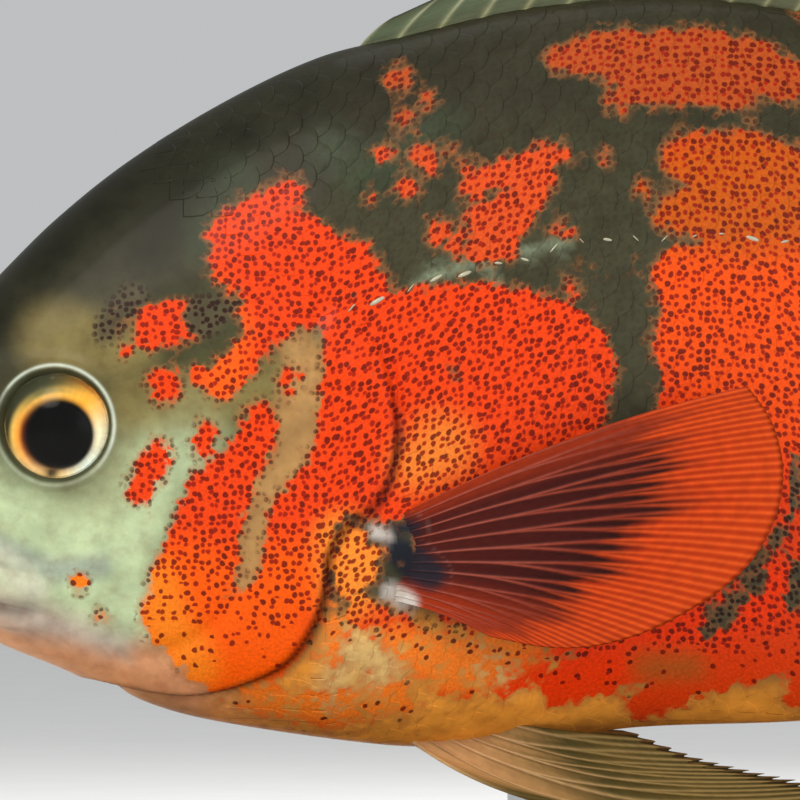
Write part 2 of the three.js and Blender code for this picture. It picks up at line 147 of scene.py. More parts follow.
GILL_EDGE = [
    (71.5, 64), (74.5, 34), (79, 15), (84, 7.5), (86.4, -1), (86.4, -9), (83.8, -15.5), (79.5, -18.6),
    (76.6, -23), (76, -28), (74.4, -33.5), (70, -39.6), (63, -42.9), (56, -44.3), (48.7, -43.6),
    (40.5, -41.7), (30, -40),
]
CHEEK_EDGE = [
    (41, -38.6), (49.3, -38.2), (57.6, -35.2), (63, -28.6), (65.2, -20), (69, -12), (73.4, -4.4),
    (74.4, 3), (73.4, 8.5), (76, 14.5),
]
LATERAL_LINE = profile([
    (76, 12.5), (84, 15), (95, 18.6), (105, 21.2), (118, 24), (135, 24.6), (150, 22.4), (168, 13),
    (185, 5.5), (216, 3),
])
EYE = {"x": 35.6, "z": -3.8, "radius": 7.9, "bulge": 2.7, "seat": 0.5, "rim": 8.7}
LOBE = {"x": 90.5, "z": -23.8, "radius": 7.6, "height": 1.7}

# The head's small forms, in mm. A lip's roll or groove is (way up from the mouth's line, height, half width).
LIP_ROLLS = [(2.4, 2.2, 1.6), (-2.5, 2.0, 1.7), (0, -1.5, 0.5), (5.6, -0.8, 0.8)]
NOSTRIL = {"x": 17, "z": 1.6, "ring": 1.35, "rise": 0.7, "pit": 1.2}
COVER = {"rise": 1.1, "reach": 14, "groove": 0.7}
CHEEK_GROOVE = 0.5
EYELID_RISE = 0.75
SOCKET_DEPTH = 6
GILL_FOLDS = [[(77 + 1.2 * i, 6.2 - 1.9 * i), (82 + 1.5 * i, 4.6 - 1.7 * i)] for i in range(3)]
FOLD_RISE = 0.35
FAR_FROM_MOUTH = 30


def trunk_point(x, turn):
    """The bare body at a station, turned from the back: to the right side by a positive angle, else left."""
    share = np.minimum((x - SNOUT) / SNOUT_ROUNDING, 1)
    close = np.sqrt(np.maximum(1 - (1 - share) ** 2, 0))
    mid = level(x)
    rise, side = np.cos(turn), np.sin(turn)
    power = 2 / np.where(rise > 0, roof(x), keel(x))
    reach = np.where(rise > 0, back(x) - mid, belly(x) - mid) * close
    y = np.sign(side) * half(x) * close * np.abs(side) ** power
    return np.stack([x + 0 * y, y, mid + reach * np.abs(rise) ** power], -1)


def outward(x, turn):
    """The body's outward direction."""
    step = 0.02
    along = trunk_point(x + step, turn) - trunk_point(x - step, turn)
    around = trunk_point(x, turn + step) - trunk_point(x, turn - step)
    normal = np.cross(along, around)
    normal[x < SNOUT + 2 * step] = (-1, 0, 0)
    normal[x > BODY_LENGTH - step] = (1, 0, 0)
    size = np.linalg.norm(normal, axis=-1, keepdims=True)
    return np.where(size > 1e-12, normal / np.maximum(size, 1e-12), (0, 0, 1))


def raised(x, turn, push):
    """Points that stand a height in mm above the bare body."""
    return trunk_point(x, turn) + outward(x, turn) * push[:, None]


def turn_of(x, z):
    """The turn from the back at which the bare body has a height."""
    above = np.clip((z - level(x)) / (back(x) - level(x)), 0, 1)
    below = np.clip((level(x) - z) / (level(x) - belly(x)), 0, 1)
    return np.where(z > level(x), np.arccos(above ** (roof(x) / 2)), np.arccos(-(below ** (keel(x) / 2))))


def path_distance(x, z, path):
    """Distance from points to a path in side view, positive to the left of its way."""
    points = np.array(path, float)
    best = np.full(x.shape, 1e9)
    signed = best
    for (ax, az), (bx, bz) in zip(points[:-1], points[1:]):
        dx, dz = bx - ax, bz - az
        t = np.clip(((x - ax) * dx + (z - az) * dz) / (dx * dx + dz * dz), 0, 1)
        distance = np.hypot(x - ax - t * dx, z - az - t * dz)
        way = np.sign(dx * (z - az) - dz * (x - ax))
        nearer = distance < best
        best = np.where(nearer, distance, best)
        signed = np.where(nearer, distance * way, signed)
    return signed


def rounded(path, count=60):
    """Points of a smooth path through the given ones."""
    places = np.arange(len(path))
    steps = np.linspace(0, len(path) - 1, count)
    return np.stack([profile(list(zip(places, axis)))(steps) for axis in zip(*path)], -1)


def relief(x, z, gape=FAR_FROM_MOUTH):
    """How far the form stands out of the bare body, in mm. gape is the way up from the mouth's line."""
    front = 1 - ease(x, 24, MOUTH_CORNER + 3)
    height = front * sum(rise * bell(gape - at, width) for at, rise, width in LIP_ROLLS)
    on_cover = -path_distance(x, z, rounded(GILL_EDGE))
    low = 1 - ease(z, 4, 16)
    height += low * COVER["rise"] * ease(on_cover, -0.3, 0.45) * bell(np.maximum(on_cover, 0), COVER["reach"])
    height -= low * COVER["groove"] * bell(on_cover + 0.7, 0.6)
    from_cheek = path_distance(x, z, rounded(CHEEK_EDGE))
    height -= CHEEK_GROOVE * bell(from_cheek, 1.3) * ease(x, 44, 52)
    from_eye = np.hypot(x - EYE["x"], z - EYE["z"])
    height += EYELID_RISE * bell(np.maximum(from_eye - EYE["rim"], 0), 1.3) * ease(from_eye, 7.8, EYE["rim"])
    height -= SOCKET_DEPTH * (1 - ease(from_eye, 6.9, 8.2))
    from_nostril = np.hypot(x - NOSTRIL["x"], (z - NOSTRIL["z"]) * 0.8)
    height += NOSTRIL["rise"] * bell(from_nostril - NOSTRIL["ring"], 0.45)
    height -= NOSTRIL["pit"] * bell(from_nostril, 0.75)
    for fold in GILL_FOLDS:
        height += FOLD_RISE * bell(path_distance(x, z, fold), 0.42)
    from_lobe = np.hypot(x - LOBE["x"], z - LOBE["z"]) / LOBE["radius"]
    height += LOBE["height"] * (1 - ease(from_lobe, 0.2, 1))
    return height


# The markings, in photo pixels: chains of (across, down, radius). Past the photograph they follow the kind.

NAPE_PATCH = [
    [(288, 194, 14), (255, 224, 20), (240, 262, 28), (300, 262, 42), (345, 268, 28), (380, 292, 10)],
    [(258, 300, 24), (300, 302, 26), (340, 312, 18)], [(218, 238, 9), (250, 205, 8)],
]
TEMPLE_SPOTS = [
    [(155, 330, 19), (178, 322, 20)], [(168, 385, 15)], [(126, 322, 5)], [(128, 350, 4)],
    [(202, 376, 8), (224, 382, 17), (240, 366, 16), (266, 334, 13), (290, 320, 14)],
    [(290, 382, 9), (293, 374, 7)],
]
CHEEK_SPOTS = [
    [(161, 455, 12), (151, 472, 14), (143, 490, 11)], [(210, 428, 6), (206, 442, 10)], [(84, 580, 6)],
    [(106, 613, 3)],
]
CHEEK_BAND = [
    [
        (262, 418, 14), (263, 440, 21), (245, 466, 24), (222, 492, 30), (213, 520, 34), (205, 552, 36),
        (193, 582, 38),
    ],
    [(182, 610, 36), (215, 636, 40), (258, 632, 46), (284, 600, 40), (302, 560, 30), (308, 528, 30)],
    [(225, 664, 22), (262, 660, 24)],
]
SHOULDER = [
    [
        (352, 322, 24), (348, 360, 24), (350, 400, 30), (354, 440, 32), (334, 474, 32), (306, 508, 34),
        (296, 545, 28),
    ],
    [(385, 335, 42), (430, 345, 56), (490, 345, 58), (545, 352, 52), (585, 362, 30)],
    [(400, 420, 54), (460, 430, 54), (520, 430, 48), (570, 405, 34)],
    [(365, 486, 30), (410, 490, 36), (450, 500, 30)],
    [(470, 560, 60), (560, 540, 60), (640, 520, 60), (700, 470, 60)],
    [(350, 534, 14), (352, 575, 18), (368, 556, 12)], [(360, 610, 12), (400, 625, 10)],
]
FLANK_SPOTS = [
    [(398, 80, 11)], [(405, 122, 9)], [(427, 102, 6)], [(425, 160, 13)], [(383, 155, 8)], [(407, 190, 10)],
    [(438, 234, 12)], [(472, 190, 13), (468, 170, 6)], [(556, 158, 9)], [(575, 280, 10)], [(620, 265, 9)],
    [(613, 108, 9)], [(490, 178, 10), (522, 176, 18), (545, 158, 10)],
    [(484, 226, 18), (512, 214, 20), (536, 188, 14)], [(455, 250, 9), (500, 250, 12)], [(372, 200, 4)],
    [(450, 152, 4)], [(640, 190, 7)], [(600, 160, 5)], [(560, 235, 8)],
]
BACK_STRIP = [
    [(556, 62, 10), (600, 56, 22), (650, 62, 26), (700, 60, 28), (750, 70, 28), (785, 84, 18)],
    [(620, 96, 10), (680, 92, 14), (740, 98, 12)], [(800, 12, 5), (850, 14, 8)],
]
REAR_MASS = [
    [(682, 160, 22), (740, 168, 34), (800, 184, 30)], [(664, 214, 14), (720, 212, 30), (780, 214, 34)],
    [(690, 284, 40), (745, 290, 50), (810, 300, 56)], [(684, 344, 34), (745, 362, 60), (810, 384, 60)],
    [(700, 404, 46), (760, 430, 60)], [(768, 480, 50), (800, 530, 40)],
    [(560, 684, 20), (620, 658, 26), (680, 640, 30), (740, 608, 28), (806, 566, 30)],
    [(640, 704, 14), (720, 664, 20), (784, 640, 30)], [(800, 692, 16)],
]
REAR_BLOTCHES = [
    [(870, 190, 46), (930, 230, 30)], [(890, 320, 56), (970, 330, 46), (1030, 300, 22)],
    [(860, 440, 54), (950, 450, 44)], [(900, 560, 34), (990, 540, 30)], [(880, 90, 18), (940, 120, 26)],
    [(1010, 200, 22)], [(1080, 380, 34), (1130, 350, 20)], [(1060, 470, 22), (1100, 450, 14)],
    [(1130, 260, 16)], [(1180, 420, 16)], [(1020, 140, 10)], [(960, 630, 16), (1030, 610, 10)],
    [(860, 640, 30), (900, 650, 20)], [(1150, 170, 8)], [(1210, 330, 8)],
]
RED_STROKES = [
    [(420, 670, 6), (450, 640, 4)], [(470, 650, 6), (510, 632, 5)], [(446, 684, 9), (466, 688, 7)],
    [(560, 650, 6), (590, 640, 6)], [(500, 690, 6), (540, 668, 8)], [(300, 715, 4), (340, 722, 5)],
]
ORANGE = (
    NAPE_PATCH + TEMPLE_SPOTS + CHEEK_SPOTS + CHEEK_BAND + SHOULDER + FLANK_SPOTS + BACK_STRIP + REAR_MASS
    + REAR_BLOTCHES + RED_STROKES
)
GREY_GAPS = [
    [(452, 372, 9)],
    [
        (300, 345, 6), (316, 372, 12), (300, 412, 20), (292, 452, 20), (262, 500, 12), (252, 545, 12),
        (246, 582, 8),
    ],
    [(424, 282, 3), (445, 272, 5), (470, 268, 4)], [(482, 264, 3), (498, 282, 3)],
    [(530, 254, 3), (560, 248, 3)], [(612, 250, 20), (618, 300, 24), (626, 350, 20), (634, 395, 14)],
    [(560, 250, 12), (600, 300, 14)], [(456, 368, 5)],
]
DARK_PATCHES = [
    [(205, 318, 20), (240, 300, 6)], [(110, 330, 12), (135, 300, 14)],
    [(698, 632, 8), (722, 612, 12), (734, 600, 10)], [(748, 588, 10), (756, 566, 9)],
    [(772, 540, 8), (786, 512, 9)], [(790, 505, 8), (796, 455, 9)], [(786, 600, 10), (800, 560, 12)],
    [(840, 520, 12), (880, 490, 10)], [(1010, 400, 12), (1020, 470, 14), (1000, 560, 12)],
    [(860, 380, 8), (830, 420, 8)], [(1090, 300, 16), (1080, 220, 14)],
]
HEAD_BANDS = [
    [(40, 250, 30), (90, 190, 24), (160, 130, 20)], [(150, 250, 16), (190, 190, 16), (240, 140, 14)],
    [(20, 330, 20), (-60, 300, 24)],
]
TAN_CHEEK = [
    [(140, 402, 24), (200, 404, 22), (250, 400, 16), (310, 352, 10)], [(128, 350, 24), (60, 340, 30)],
]
UNDER_EYE = [[(70, 488, 4), (110, 486, 16), (120, 460, 16)]]
NAPE_LIGHT = [
    [(216, 215, 14), (232, 182, 18), (205, 240, 12)], [(330, 150, 14), (370, 180, 18), (440, 130, 12)],
]
PALE_CHEEK = [
    [(-60, 530, 60), (30, 570, 66), (100, 560, 50), (150, 480, 20), (190, 430, 10)],
    [(60, 640, 50), (130, 610, 50)], [(-140, 500, 40), (-60, 560, 50)],
]
# Painted shade: a blue-grey line over the upper lip. Below it, pale cream lip with a painted highlight.
LIP_SHADE = [[(-150, 452, 8), (-60, 508, 8), (0, 541, 7), (55, 568, 8), (104, 564, 8)]]
LIP_PALE_AND_HIGHLIGHT = [[(-140, 480, 9), (-40, 536, 10), (10, 560, 12), (40, 584, 9)]]
STRIPE = [
    [
        (300, 348, 12), (314, 376, 16), (302, 420, 22), (285, 462, 22), (262, 502, 16), (252, 545, 16),
        (246, 585, 12),
    ],
]
LILAC_JAW = [[(-150, 520, 16), (-80, 566, 22), (0, 606, 22), (66, 632, 20), (140, 656, 16), (196, 690, 12)]]
PINK_JAW = [
    [(-150, 560, 10), (-60, 606, 12), (40, 650, 12), (100, 668, 14), (170, 678, 14), (220, 700, 12)],
    [(150, 655, 14), (190, 676, 16)],
]
YELLOW_BELLY = [
    [
        (340, 640, 20), (372, 660, 46), (460, 680, 56), (540, 700, 46), (620, 740, 40), (720, 735, 46),
        (820, 730, 40),
    ],
    [(230, 716, 16), (290, 700, 30), (330, 680, 36)], [(880, 720, 30), (960, 700, 24)],
    [(420, 450, 26), (400, 470, 20)],
]
CREAM_PATCH = [[(332, 692, 14), (354, 640, 14), (380, 664, 22)], [(478, 655, 12), (504, 670, 12)]]
BELLY_MOTTLES = [
    [(396, 640, 12), (450, 660, 26), (520, 650, 24)], [(250, 696, 10), (330, 706, 14), (400, 694, 14)],
    [(336, 610, 8), (330, 650, 10)],
]
ROOT_SPOTS = [[(376, 529, 7), (386, 533, 6)], [(392, 590, 9), (406, 600, 9)]]
ROOT_BLOTCH = [[(396, 546, 13), (412, 560, 16), (430, 572, 12)], [(392, 524, 5), (412, 526, 7)]]
LINE_LIGHT = [
    [(418, 284, 2), (430, 276, 5), (452, 270, 4), (470, 266, 4)], [(478, 262, 3), (496, 284, 4)],
    [(522, 256, 5), (566, 246, 4)],
]
OCELLUS = {"x": 211, "z": 13, "spot": 3.4, "ring": 5.6}

OLIVE, OLIVE_DARK, TEMPLE_OLIVE = linear("#3e3d2b"), linear("#14150b"), linear("#4b4b2a")
NAPE_GREEN, CHEEK_TAN, CHEEK_GREEN = linear("#38432f"), linear("#7d7143"), linear("#b8ca9f")
# The lip's blue-grey is painted shade; its cream is the lip's pale colour with a painted highlight.
STRIPE_TAN, LIP_SHADE_BLUE, LIP_CREAM_HIGHLIGHT = linear("#ab8350"), linear("#8d998f"), linear("#bcc0aa")
JAW_LILAC, JAW_PINK, BELLY_CREAM = linear("#b5a498"), linear("#d68f5c"), linear("#d8c080")
DARK_MARK, ROOT_WHITE, ROOT_BLUE = linear("#4d4632"), linear("#c6beb6"), linear("#1c2029")
NEAR_BLACK, LINE_PALE, BELLY_AMBER = linear("#16140f"), linear("#7d8a70"), linear("#ec9a38")
# The colours of the painted shade inside the eye's rim and of the painted highlight along it.
EYELID_SHADE, EYE_RIM_HIGHLIGHT = linear("#3a3d2a"), linear("#c9d4c2")

# The ground's pale and dark patches, the lowest first: (colour, chains, (fades in from, to) in mm, strength).
GROUND_PATCHES = [
    (NAPE_GREEN, NAPE_LIGHT, (-4, 2), 0.7),
    (OLIVE_DARK, HEAD_BANDS, (-4, 3), 0.6),
    (CHEEK_GREEN, PALE_CHEEK, (-9, 3), 0.95),
    (CHEEK_TAN, TAN_CHEEK, (-4, 2), 0.8),
    (CHEEK_TAN, UNDER_EYE, (-6, 4), 0.4),
    (STRIPE_TAN, STRIPE, (-3, 1), 0.9),
    (LINE_PALE, LINE_LIGHT, (-0.8, 0.5), 0.75),
    # painted shade over the upper lip, then its pale cream with a painted highlight
    (LIP_SHADE_BLUE, LIP_SHADE, (-2, 1), 0.75),
    (LIP_CREAM_HIGHLIGHT, LIP_PALE_AND_HIGHLIGHT, (-2, 1), 0.8),
    (JAW_LILAC, LILAC_JAW, (-3, 2), 0.9),
    (JAW_PINK, PINK_JAW, (-3, 1.5), 0.8),
]

# The orange's own colour: patches of it as (colour, chains, softness in mm), over the shoulder's red-orange.
SHOULDER_ORANGE = linear("#de3e0c")
FLAMES = [
    (linear("#cc4a1a"), FLANK_SPOTS, 1.5),
    (linear("#f25804"), [[(190, 600, 50), (240, 630, 60)], [(290, 580, 30)]], 6),
    (linear("#f27d18"), [[(158, 580, 14), (170, 625, 18), (196, 660, 16)], [(84, 580, 10), (106, 613, 8)]], 4),
    (linear("#ee5a14"), [[(215, 300, 10), (232, 330, 14), (225, 384, 16)]], 4),
    (linear("#e2792a"), [[(418, 462, 16), (440, 446, 22)]], 5),
    (linear("#f08a2c"), [[(345, 540, 20), (352, 585, 22), (372, 560, 16)]], 4),
    (linear("#e54c08"), [[(690, 290, 70), (760, 330, 90), (900, 360, 120)]], 7),
    (linear("#b8520c"), [[(670, 200, 40), (740, 190, 60), (820, 190, 50)]], 6),
    (
        linear("#a8481a"),
        [[(560, 62, 50), (680, 66, 60), (790, 60, 60), (980, 130, 90)], [(398, 80, 22), (420, 120, 22)]],
        6,
    ),
    (linear("#ee7a22"), BELLY_MOTTLES, 3),
    (linear("#f03a06"), [[(520, 690, 14), (570, 668, 26), (640, 640, 20), (760, 590, 24)]], 4),
    (linear("#b4541a"), [[(645, 664, 9), (690, 664, 8)]], 3),
]


def chain_field(x, z, chains):
    """The greatest depth of each point inside the chains' tapered strokes, in mm. It is negative outside."""
    best = np.full(x.shape, -1e9)
    for chain in chains:
        spots = [((px + SNOUT_PIXELS) * PIXEL, (MIDDLE_PIXEL - py) * PIXEL, r * PIXEL) for px, py, r in chain]
        for (ax, az, ar), (bx, bz, br) in zip(spots, spots[1:] or spots):
            dx, dz = bx - ax, bz - az
            t = np.clip(((x - ax) * dx + (z - az) * dz) / max(dx * dx + dz * dz, 1e-9), 0, 1)
            inside = ar + t * (br - ar) - np.hypot(x - ax - t * dx, z - az - t * dz)
            best = np.maximum(best, inside)
    return best


def painted(colour, layers):
    """A colour at each point under layers of others, each with its share there."""
    for other, share in layers:
        colour = colour + (other - colour) * np.clip(share, 0, 1)[..., None]
    return colour


def ground_colour(x, z, height, yellow, dark, blotch, root_light, from_ocellus):
    """The paint under the orange: olive, dark up the back, and pale on the cheek, lips, jaw and belly."""
    keel_line = (1 - ease(height, 0.03, 0.09)) * ease(x, 58, 70) * (1 - ease(x, 150, 190))
    throat = (1 - ease(height, 0.02, 0.1)) * (1 - ease(x, 60, 75))
    across_eye, over_eye = x - EYE["x"], z - EYE["z"]
    from_eye = np.hypot(across_eye, over_eye)
    # How much painted highlight the eye's rim takes: most at its top and back, least below and in front.
    lit = 0.25 + 0.6 * ease((across_eye * 0.75 + over_eye) / np.maximum(from_eye, 1), -0.5, 0.5)
    patches = [
        (colour, strength * ease(chain_field(x, z, chains), *edge))
        for colour, chains, edge, strength in GROUND_PATCHES
    ]
    return painted(OLIVE, [
        (TEMPLE_OLIVE, (1 - ease(height, 0.4, 0.75)) * (1 - ease(x, 60, 80))),
        (OLIVE_DARK, 0.75 * ease(height, 0.66, 0.95) * (1 - 0.45 * ease(x, 70, 120))),
        (OLIVE_DARK, 0.6 * ease(x, 150, 200)),
        *patches,
        (BELLY_AMBER, np.maximum(ease(yellow, -4, 2), keel_line)),
        (BELLY_CREAM, 0.75 * ease(chain_field(x, z, CREAM_PATCH), -3, 2)),
        (JAW_PINK, 0.6 * throat * ease(x, 25, 40)),
        (DARK_MARK, 0.9 * ease(dark, -1, 1)),
        (ROOT_BLUE, ease(blotch, -0.8, 0.6)),
        (ROOT_WHITE, 0.9 * ease(root_light, -1, 0.8)),
        (NEAR_BLACK, ease(OCELLUS["spot"] - from_ocellus, -0.6, 0.4)),
        # Painted shade inside the eye's rim, and a painted highlight along the rim.
        (EYELID_SHADE, 0.85 * (1 - ease(from_eye, 8.3, 8.8))),
        (EYE_RIM_HIGHLIGHT, lit * bell(from_eye - 8.95, 0.26)),
    ])


def markings(x, z, side):
    """What the paint needs to know at each point. The right side's patches are the left's, a little moved."""
    sway = np.where(side > 0, 1.0, 0.0) * ease(x, 50, 80)
    u = x + sway * (2.6 * np.sin(z / 9 + 1) + 1.8)
    w = z + sway * 2.4 * np.sin(x / 11)
    height = (z - belly(x)) / (back(x) - belly(x))
    yellow = chain_field(u, w, YELLOW_BELLY)
    dark = chain_field(u, w, DARK_PATCHES)
    blotch = chain_field(x, z, ROOT_BLOTCH)
    root_light = chain_field(x, z, ROOT_SPOTS)
    from_ocellus = np.hypot(x - OCELLUS["x"], z - OCELLUS["z"])

    faint_mottles = np.minimum(0.4 * chain_field(u, w, BELLY_MOTTLES) - 0.2, 0.1)
    orange = np.maximum(chain_field(u, w, ORANGE), faint_mottles)
    orange = np.minimum(orange, -chain_field(u, w, GREY_GAPS))
    orange = np.maximum(orange, OCELLUS["ring"] - from_ocellus)
    orange = np.where(dark > -0.6, np.minimum(orange, -dark - 0.4), orange)
    orange = np.minimum(orange, from_ocellus - OCELLUS["spot"])
    orange = np.minimum(orange, -np.maximum(blotch, root_light) - 0.6)
    flames = [(tint, ease(chain_field(u, w, chains), -soft, soft * 0.4)) for tint, chains, soft in FLAMES]

    # A painted shadow along the gill cover's edge, on its lower part, where the cover overlaps the body.
    from_gill = path_distance(x, z, rounded(GILL_EDGE))
    gill_shadow = bell(from_gill - 0.1, 0.62) * (1 - ease(z, -8, 6)) * ease(x, 34, 44)
    low_cheek = (1 - ease(z, -36, -20)) * (x < 78)
    dots = np.clip(1.02 - 0.55 * low_cheek - 0.8 * ease(yellow, 0, 4) * (z < -25), 0, 1)
    dots = dots * (1 - 0.9 * ease(-z, 33, 40)) + ease(dark, -1.5, 0.5)
    dots += 0.2 * ease(x, 60, 85) * ease(height, 0.4, 0.6)
    return {
        "orange": orange,
        "dots": dots,
        "gill_shadow": gill_shadow,
        "ground": ground_colour(x, z, height, yellow, dark, blotch, root_light, from_ocellus),
        "orange_tint": painted(SHOULDER_ORANGE, flames),
    }


# Meshes

def linked(name, data):
    """A new object in the scene."""
    obj = bpy.data.objects.new(name, data)
    bpy.context.scene.collection.objects.link(obj)
    return obj


def piece(mesh, material, slot, *nodes):
    """A finished mesh as a piece of the model, in place of the nodes given."""
    obj = linked(mesh.name, mesh)
    mesh.materials.append(material)
    mesh.shade_smooth()
    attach(obj, "root")
    if nodes:
        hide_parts(*nodes)


def mesh_from(name, bm):
    """A new mesh from a bmesh, which is then done with."""
    mesh = bpy.data.meshes.new(name)
    bm.to_mesh(mesh)
    bm.free()
    return mesh


def face_out(mesh, merge=0):
    """Merges points within a distance in metres, if one is given, and turns the faces outwards."""
    bm = bmesh.new()
    bm.from_mesh(mesh)
    if merge:
        bmesh.ops.remove_doubles(bm, verts=bm.verts[:], dist=merge)
    bmesh.ops.recalc_face_normals(bm, faces=bm.faces[:])
    bm.to_mesh(mesh)
    bm.free()


def corners_of(mesh):
    """The mesh's points, as rows."""
    points = np.empty(len(mesh.vertices) * 3)
    mesh.vertices.foreach_get("co", points)
    return points.reshape(-1, 3)


def move_to(mesh, points):
    """Sets the mesh's points from millimetres in the fish's frame."""
    mesh.vertices.foreach_set("co", world(points).astype(np.float32).ravel())
    mesh.update()


def give(mesh, name, kind, values):
    """Adds one attribute with a value at each point."""
    layer = mesh.attributes.new(name, kind, "POINT")
    field = {"FLOAT": "value", "FLOAT_VECTOR": "vector", "FLOAT_COLOR": "color"}[kind]
    layer.data.foreach_set(field, np.ascontiguousarray(values, np.float32).ravel())


def unwrap(mesh, x, down):
    """The bake's map: each side of the body laid flat, by station and by the turn from the back."""
    layer = mesh.uv_layers.new(name="OFBake")
    corners = np.empty(len(mesh.loops), int)
    mesh.loops.foreach_get("vertex_index", corners)
    starts = np.empty(len(mesh.polygons), int)
    mesh.polygons.foreach_get("loop_start", starts)
    centres = np.empty(len(mesh.polygons) * 3)
    mesh.polygons.foreach_get("center", centres)
    counts = np.diff(np.append(starts, len(mesh.loops)))
    right = np.repeat(centres[1::3] > 0, counts)
    u = x[corners] / (BODY_LENGTH + 6) * 0.49 + 0.005 + 0.5 * right
    v = down[corners] / math.pi * 0.98 + 0.01
    layer.data.foreach_set("uv", np.stack([u, v], -1).astype(np.float32).ravel())


def dress(mesh, points, marks, side, x, way, down):
    """Places a mesh of painted skin, and gives it its markings, its place on the dots' pattern and its map."""
    move_to(mesh, points)
    for name, values in marks.items():
        give(mesh, name, "FLOAT_COLOR" if values.ndim == 2 else "FLOAT", values)
    give(mesh, "place", "FLOAT_VECTOR", np.stack([x + FAR * (side > 0), way, 0 * x], -1))
    unwrap(mesh, x, down)


def copies(name, bm, count):
    """One mesh of many copies of a small shape, in order."""
    mesh = mesh_from(name, bm)
    obj = linked(name, mesh)
    array = obj.modifiers.new("Array", "ARRAY")
    array.count = count
    array.use_relative_offset = False
    array.use_constant_offset = True
    array.constant_offset_displace = (10, 0, 0)
    bpy.context.view_layer.update()
    made = bpy.data.meshes.new_from_object(obj.evaluated_get(bpy.context.evaluated_depsgraph_get()))
    bpy.data.objects.remove(obj)
    bpy.data.meshes.remove(mesh)
    made.name = name
    return made


def spun(name, outline):
    """A round shape from half of its outline, (radius, height) pairs from the axis out."""
    bm = bmesh.new()
    verts = [bm.verts.new((r, 0, h)) for r, h in outline]
    edges = [bm.edges.new(pair) for pair in zip(verts[:-1], verts[1:])]
    bmesh.ops.spin(
        bm, geom=verts + edges, cent=(0, 0, 0), axis=(0, 0, 1), angle=2 * math.pi, steps=72, use_merge=True,
    )
    bmesh.ops.remove_doubles(bm, verts=bm.verts[:], dist=1e-5)
    bmesh.ops.recalc_face_normals(bm, faces=bm.faces[:])
    return mesh_from(name, bm)


# The girth table turns a way along the skin, down or up from the lateral line, into a turn from the back.

GIRTH_STATIONS = np.linspace(SNOUT + 0.01, BODY_LENGTH, 440)
GIRTH_TURNS = np.linspace(0, math.pi, 400)
GIRTH_REACH = 80
GIRTH_WAYS = np.linspace(-GIRTH_REACH, GIRTH_REACH, 641)


def girth_table():
    """The way down the skin from the lateral line to each turn, in mm, by station."""
    x, turn = np.meshgrid(GIRTH_STATIONS, GIRTH_TURNS, indexing="ij")
    points = trunk_point(x, turn)
    steps = np.linalg.norm(np.diff(points, axis=1), axis=-1)
    arc = np.concatenate([np.zeros((len(x), 1)), np.cumsum(steps, 1)], 1)
    line = LATERAL_LINE(GIRTH_STATIONS)
    on_line = [np.interp(-z, -heights, ways) for z, heights, ways in zip(line, points[..., 2], arc)]
    return arc - np.array(on_line)[:, None]


GIRTH = girth_table()
TURN_AT = np.array([np.interp(GIRTH_WAYS, ways, GIRTH_TURNS) for ways in GIRTH])


def between(table, x, value, low, high):
    """Reads a table of stations by even steps, smoothly between its rows and columns."""
    i = np.clip((x - GIRTH_STATIONS[0]) / (GIRTH_STATIONS[1] - GIRTH_STATIONS[0]), 0, len(table) - 1.001)
    j = np.clip((value - low) / (high - low), 0, 1) * (table.shape[1] - 1.001)
    a, b = i.astype(int), j.astype(int)
    s, t = i - a, j - b
    top = table[a, b] * (1 - t) + table[a, b + 1] * t
    bottom = table[a + 1, b] * (1 - t) + table[a + 1, b + 1] * t
    return top * (1 - s) + bottom * s


def turn_at(x, way):
    return between(TURN_AT, x, way, -GIRTH_REACH, GIRTH_REACH)


def way_at(x, down):
    return between(GIRTH, x, down, 0, math.pi)


def reach_at(x, z):
    """How far the bare body stands out from its middle plane at a station and height."""
    points = trunk_point(np.full(len(GIRTH_TURNS), float(x)), GIRTH_TURNS)
    return float(np.interp(-z, -points[:, 2], points[:, 1]))


# Skin, rims of the eyes, scales and lateral line

SKIN_RINGS = 400
SKIN_SIDES = 236


def mouth_turn(x):
    """The turn from the back of the mesh's mouth row: on the mouth in front, and level with it behind."""
    return MOUTH_ROW + (turn_of(x, mouth(x)) - MOUTH_ROW) * (1 - ease(x, MOUTH_CORNER, 62))


def crowded_stations():
    """Shares of the rings from snout to tail, and their stations: fine at the head, coarse under scales."""
    stations = np.linspace(SNOUT, BODY_LENGTH, 2000)
    spacing = 0.16 + 0.2 * ease(stations, 1, 10) + 0.1 * ease(stations, 48, 60) + 0.3 * ease(stations, 92, 104)
    rings = np.cumsum(1 / spacing)
    return (rings - rings[0]) / (rings[-1] - rings[0]), stations


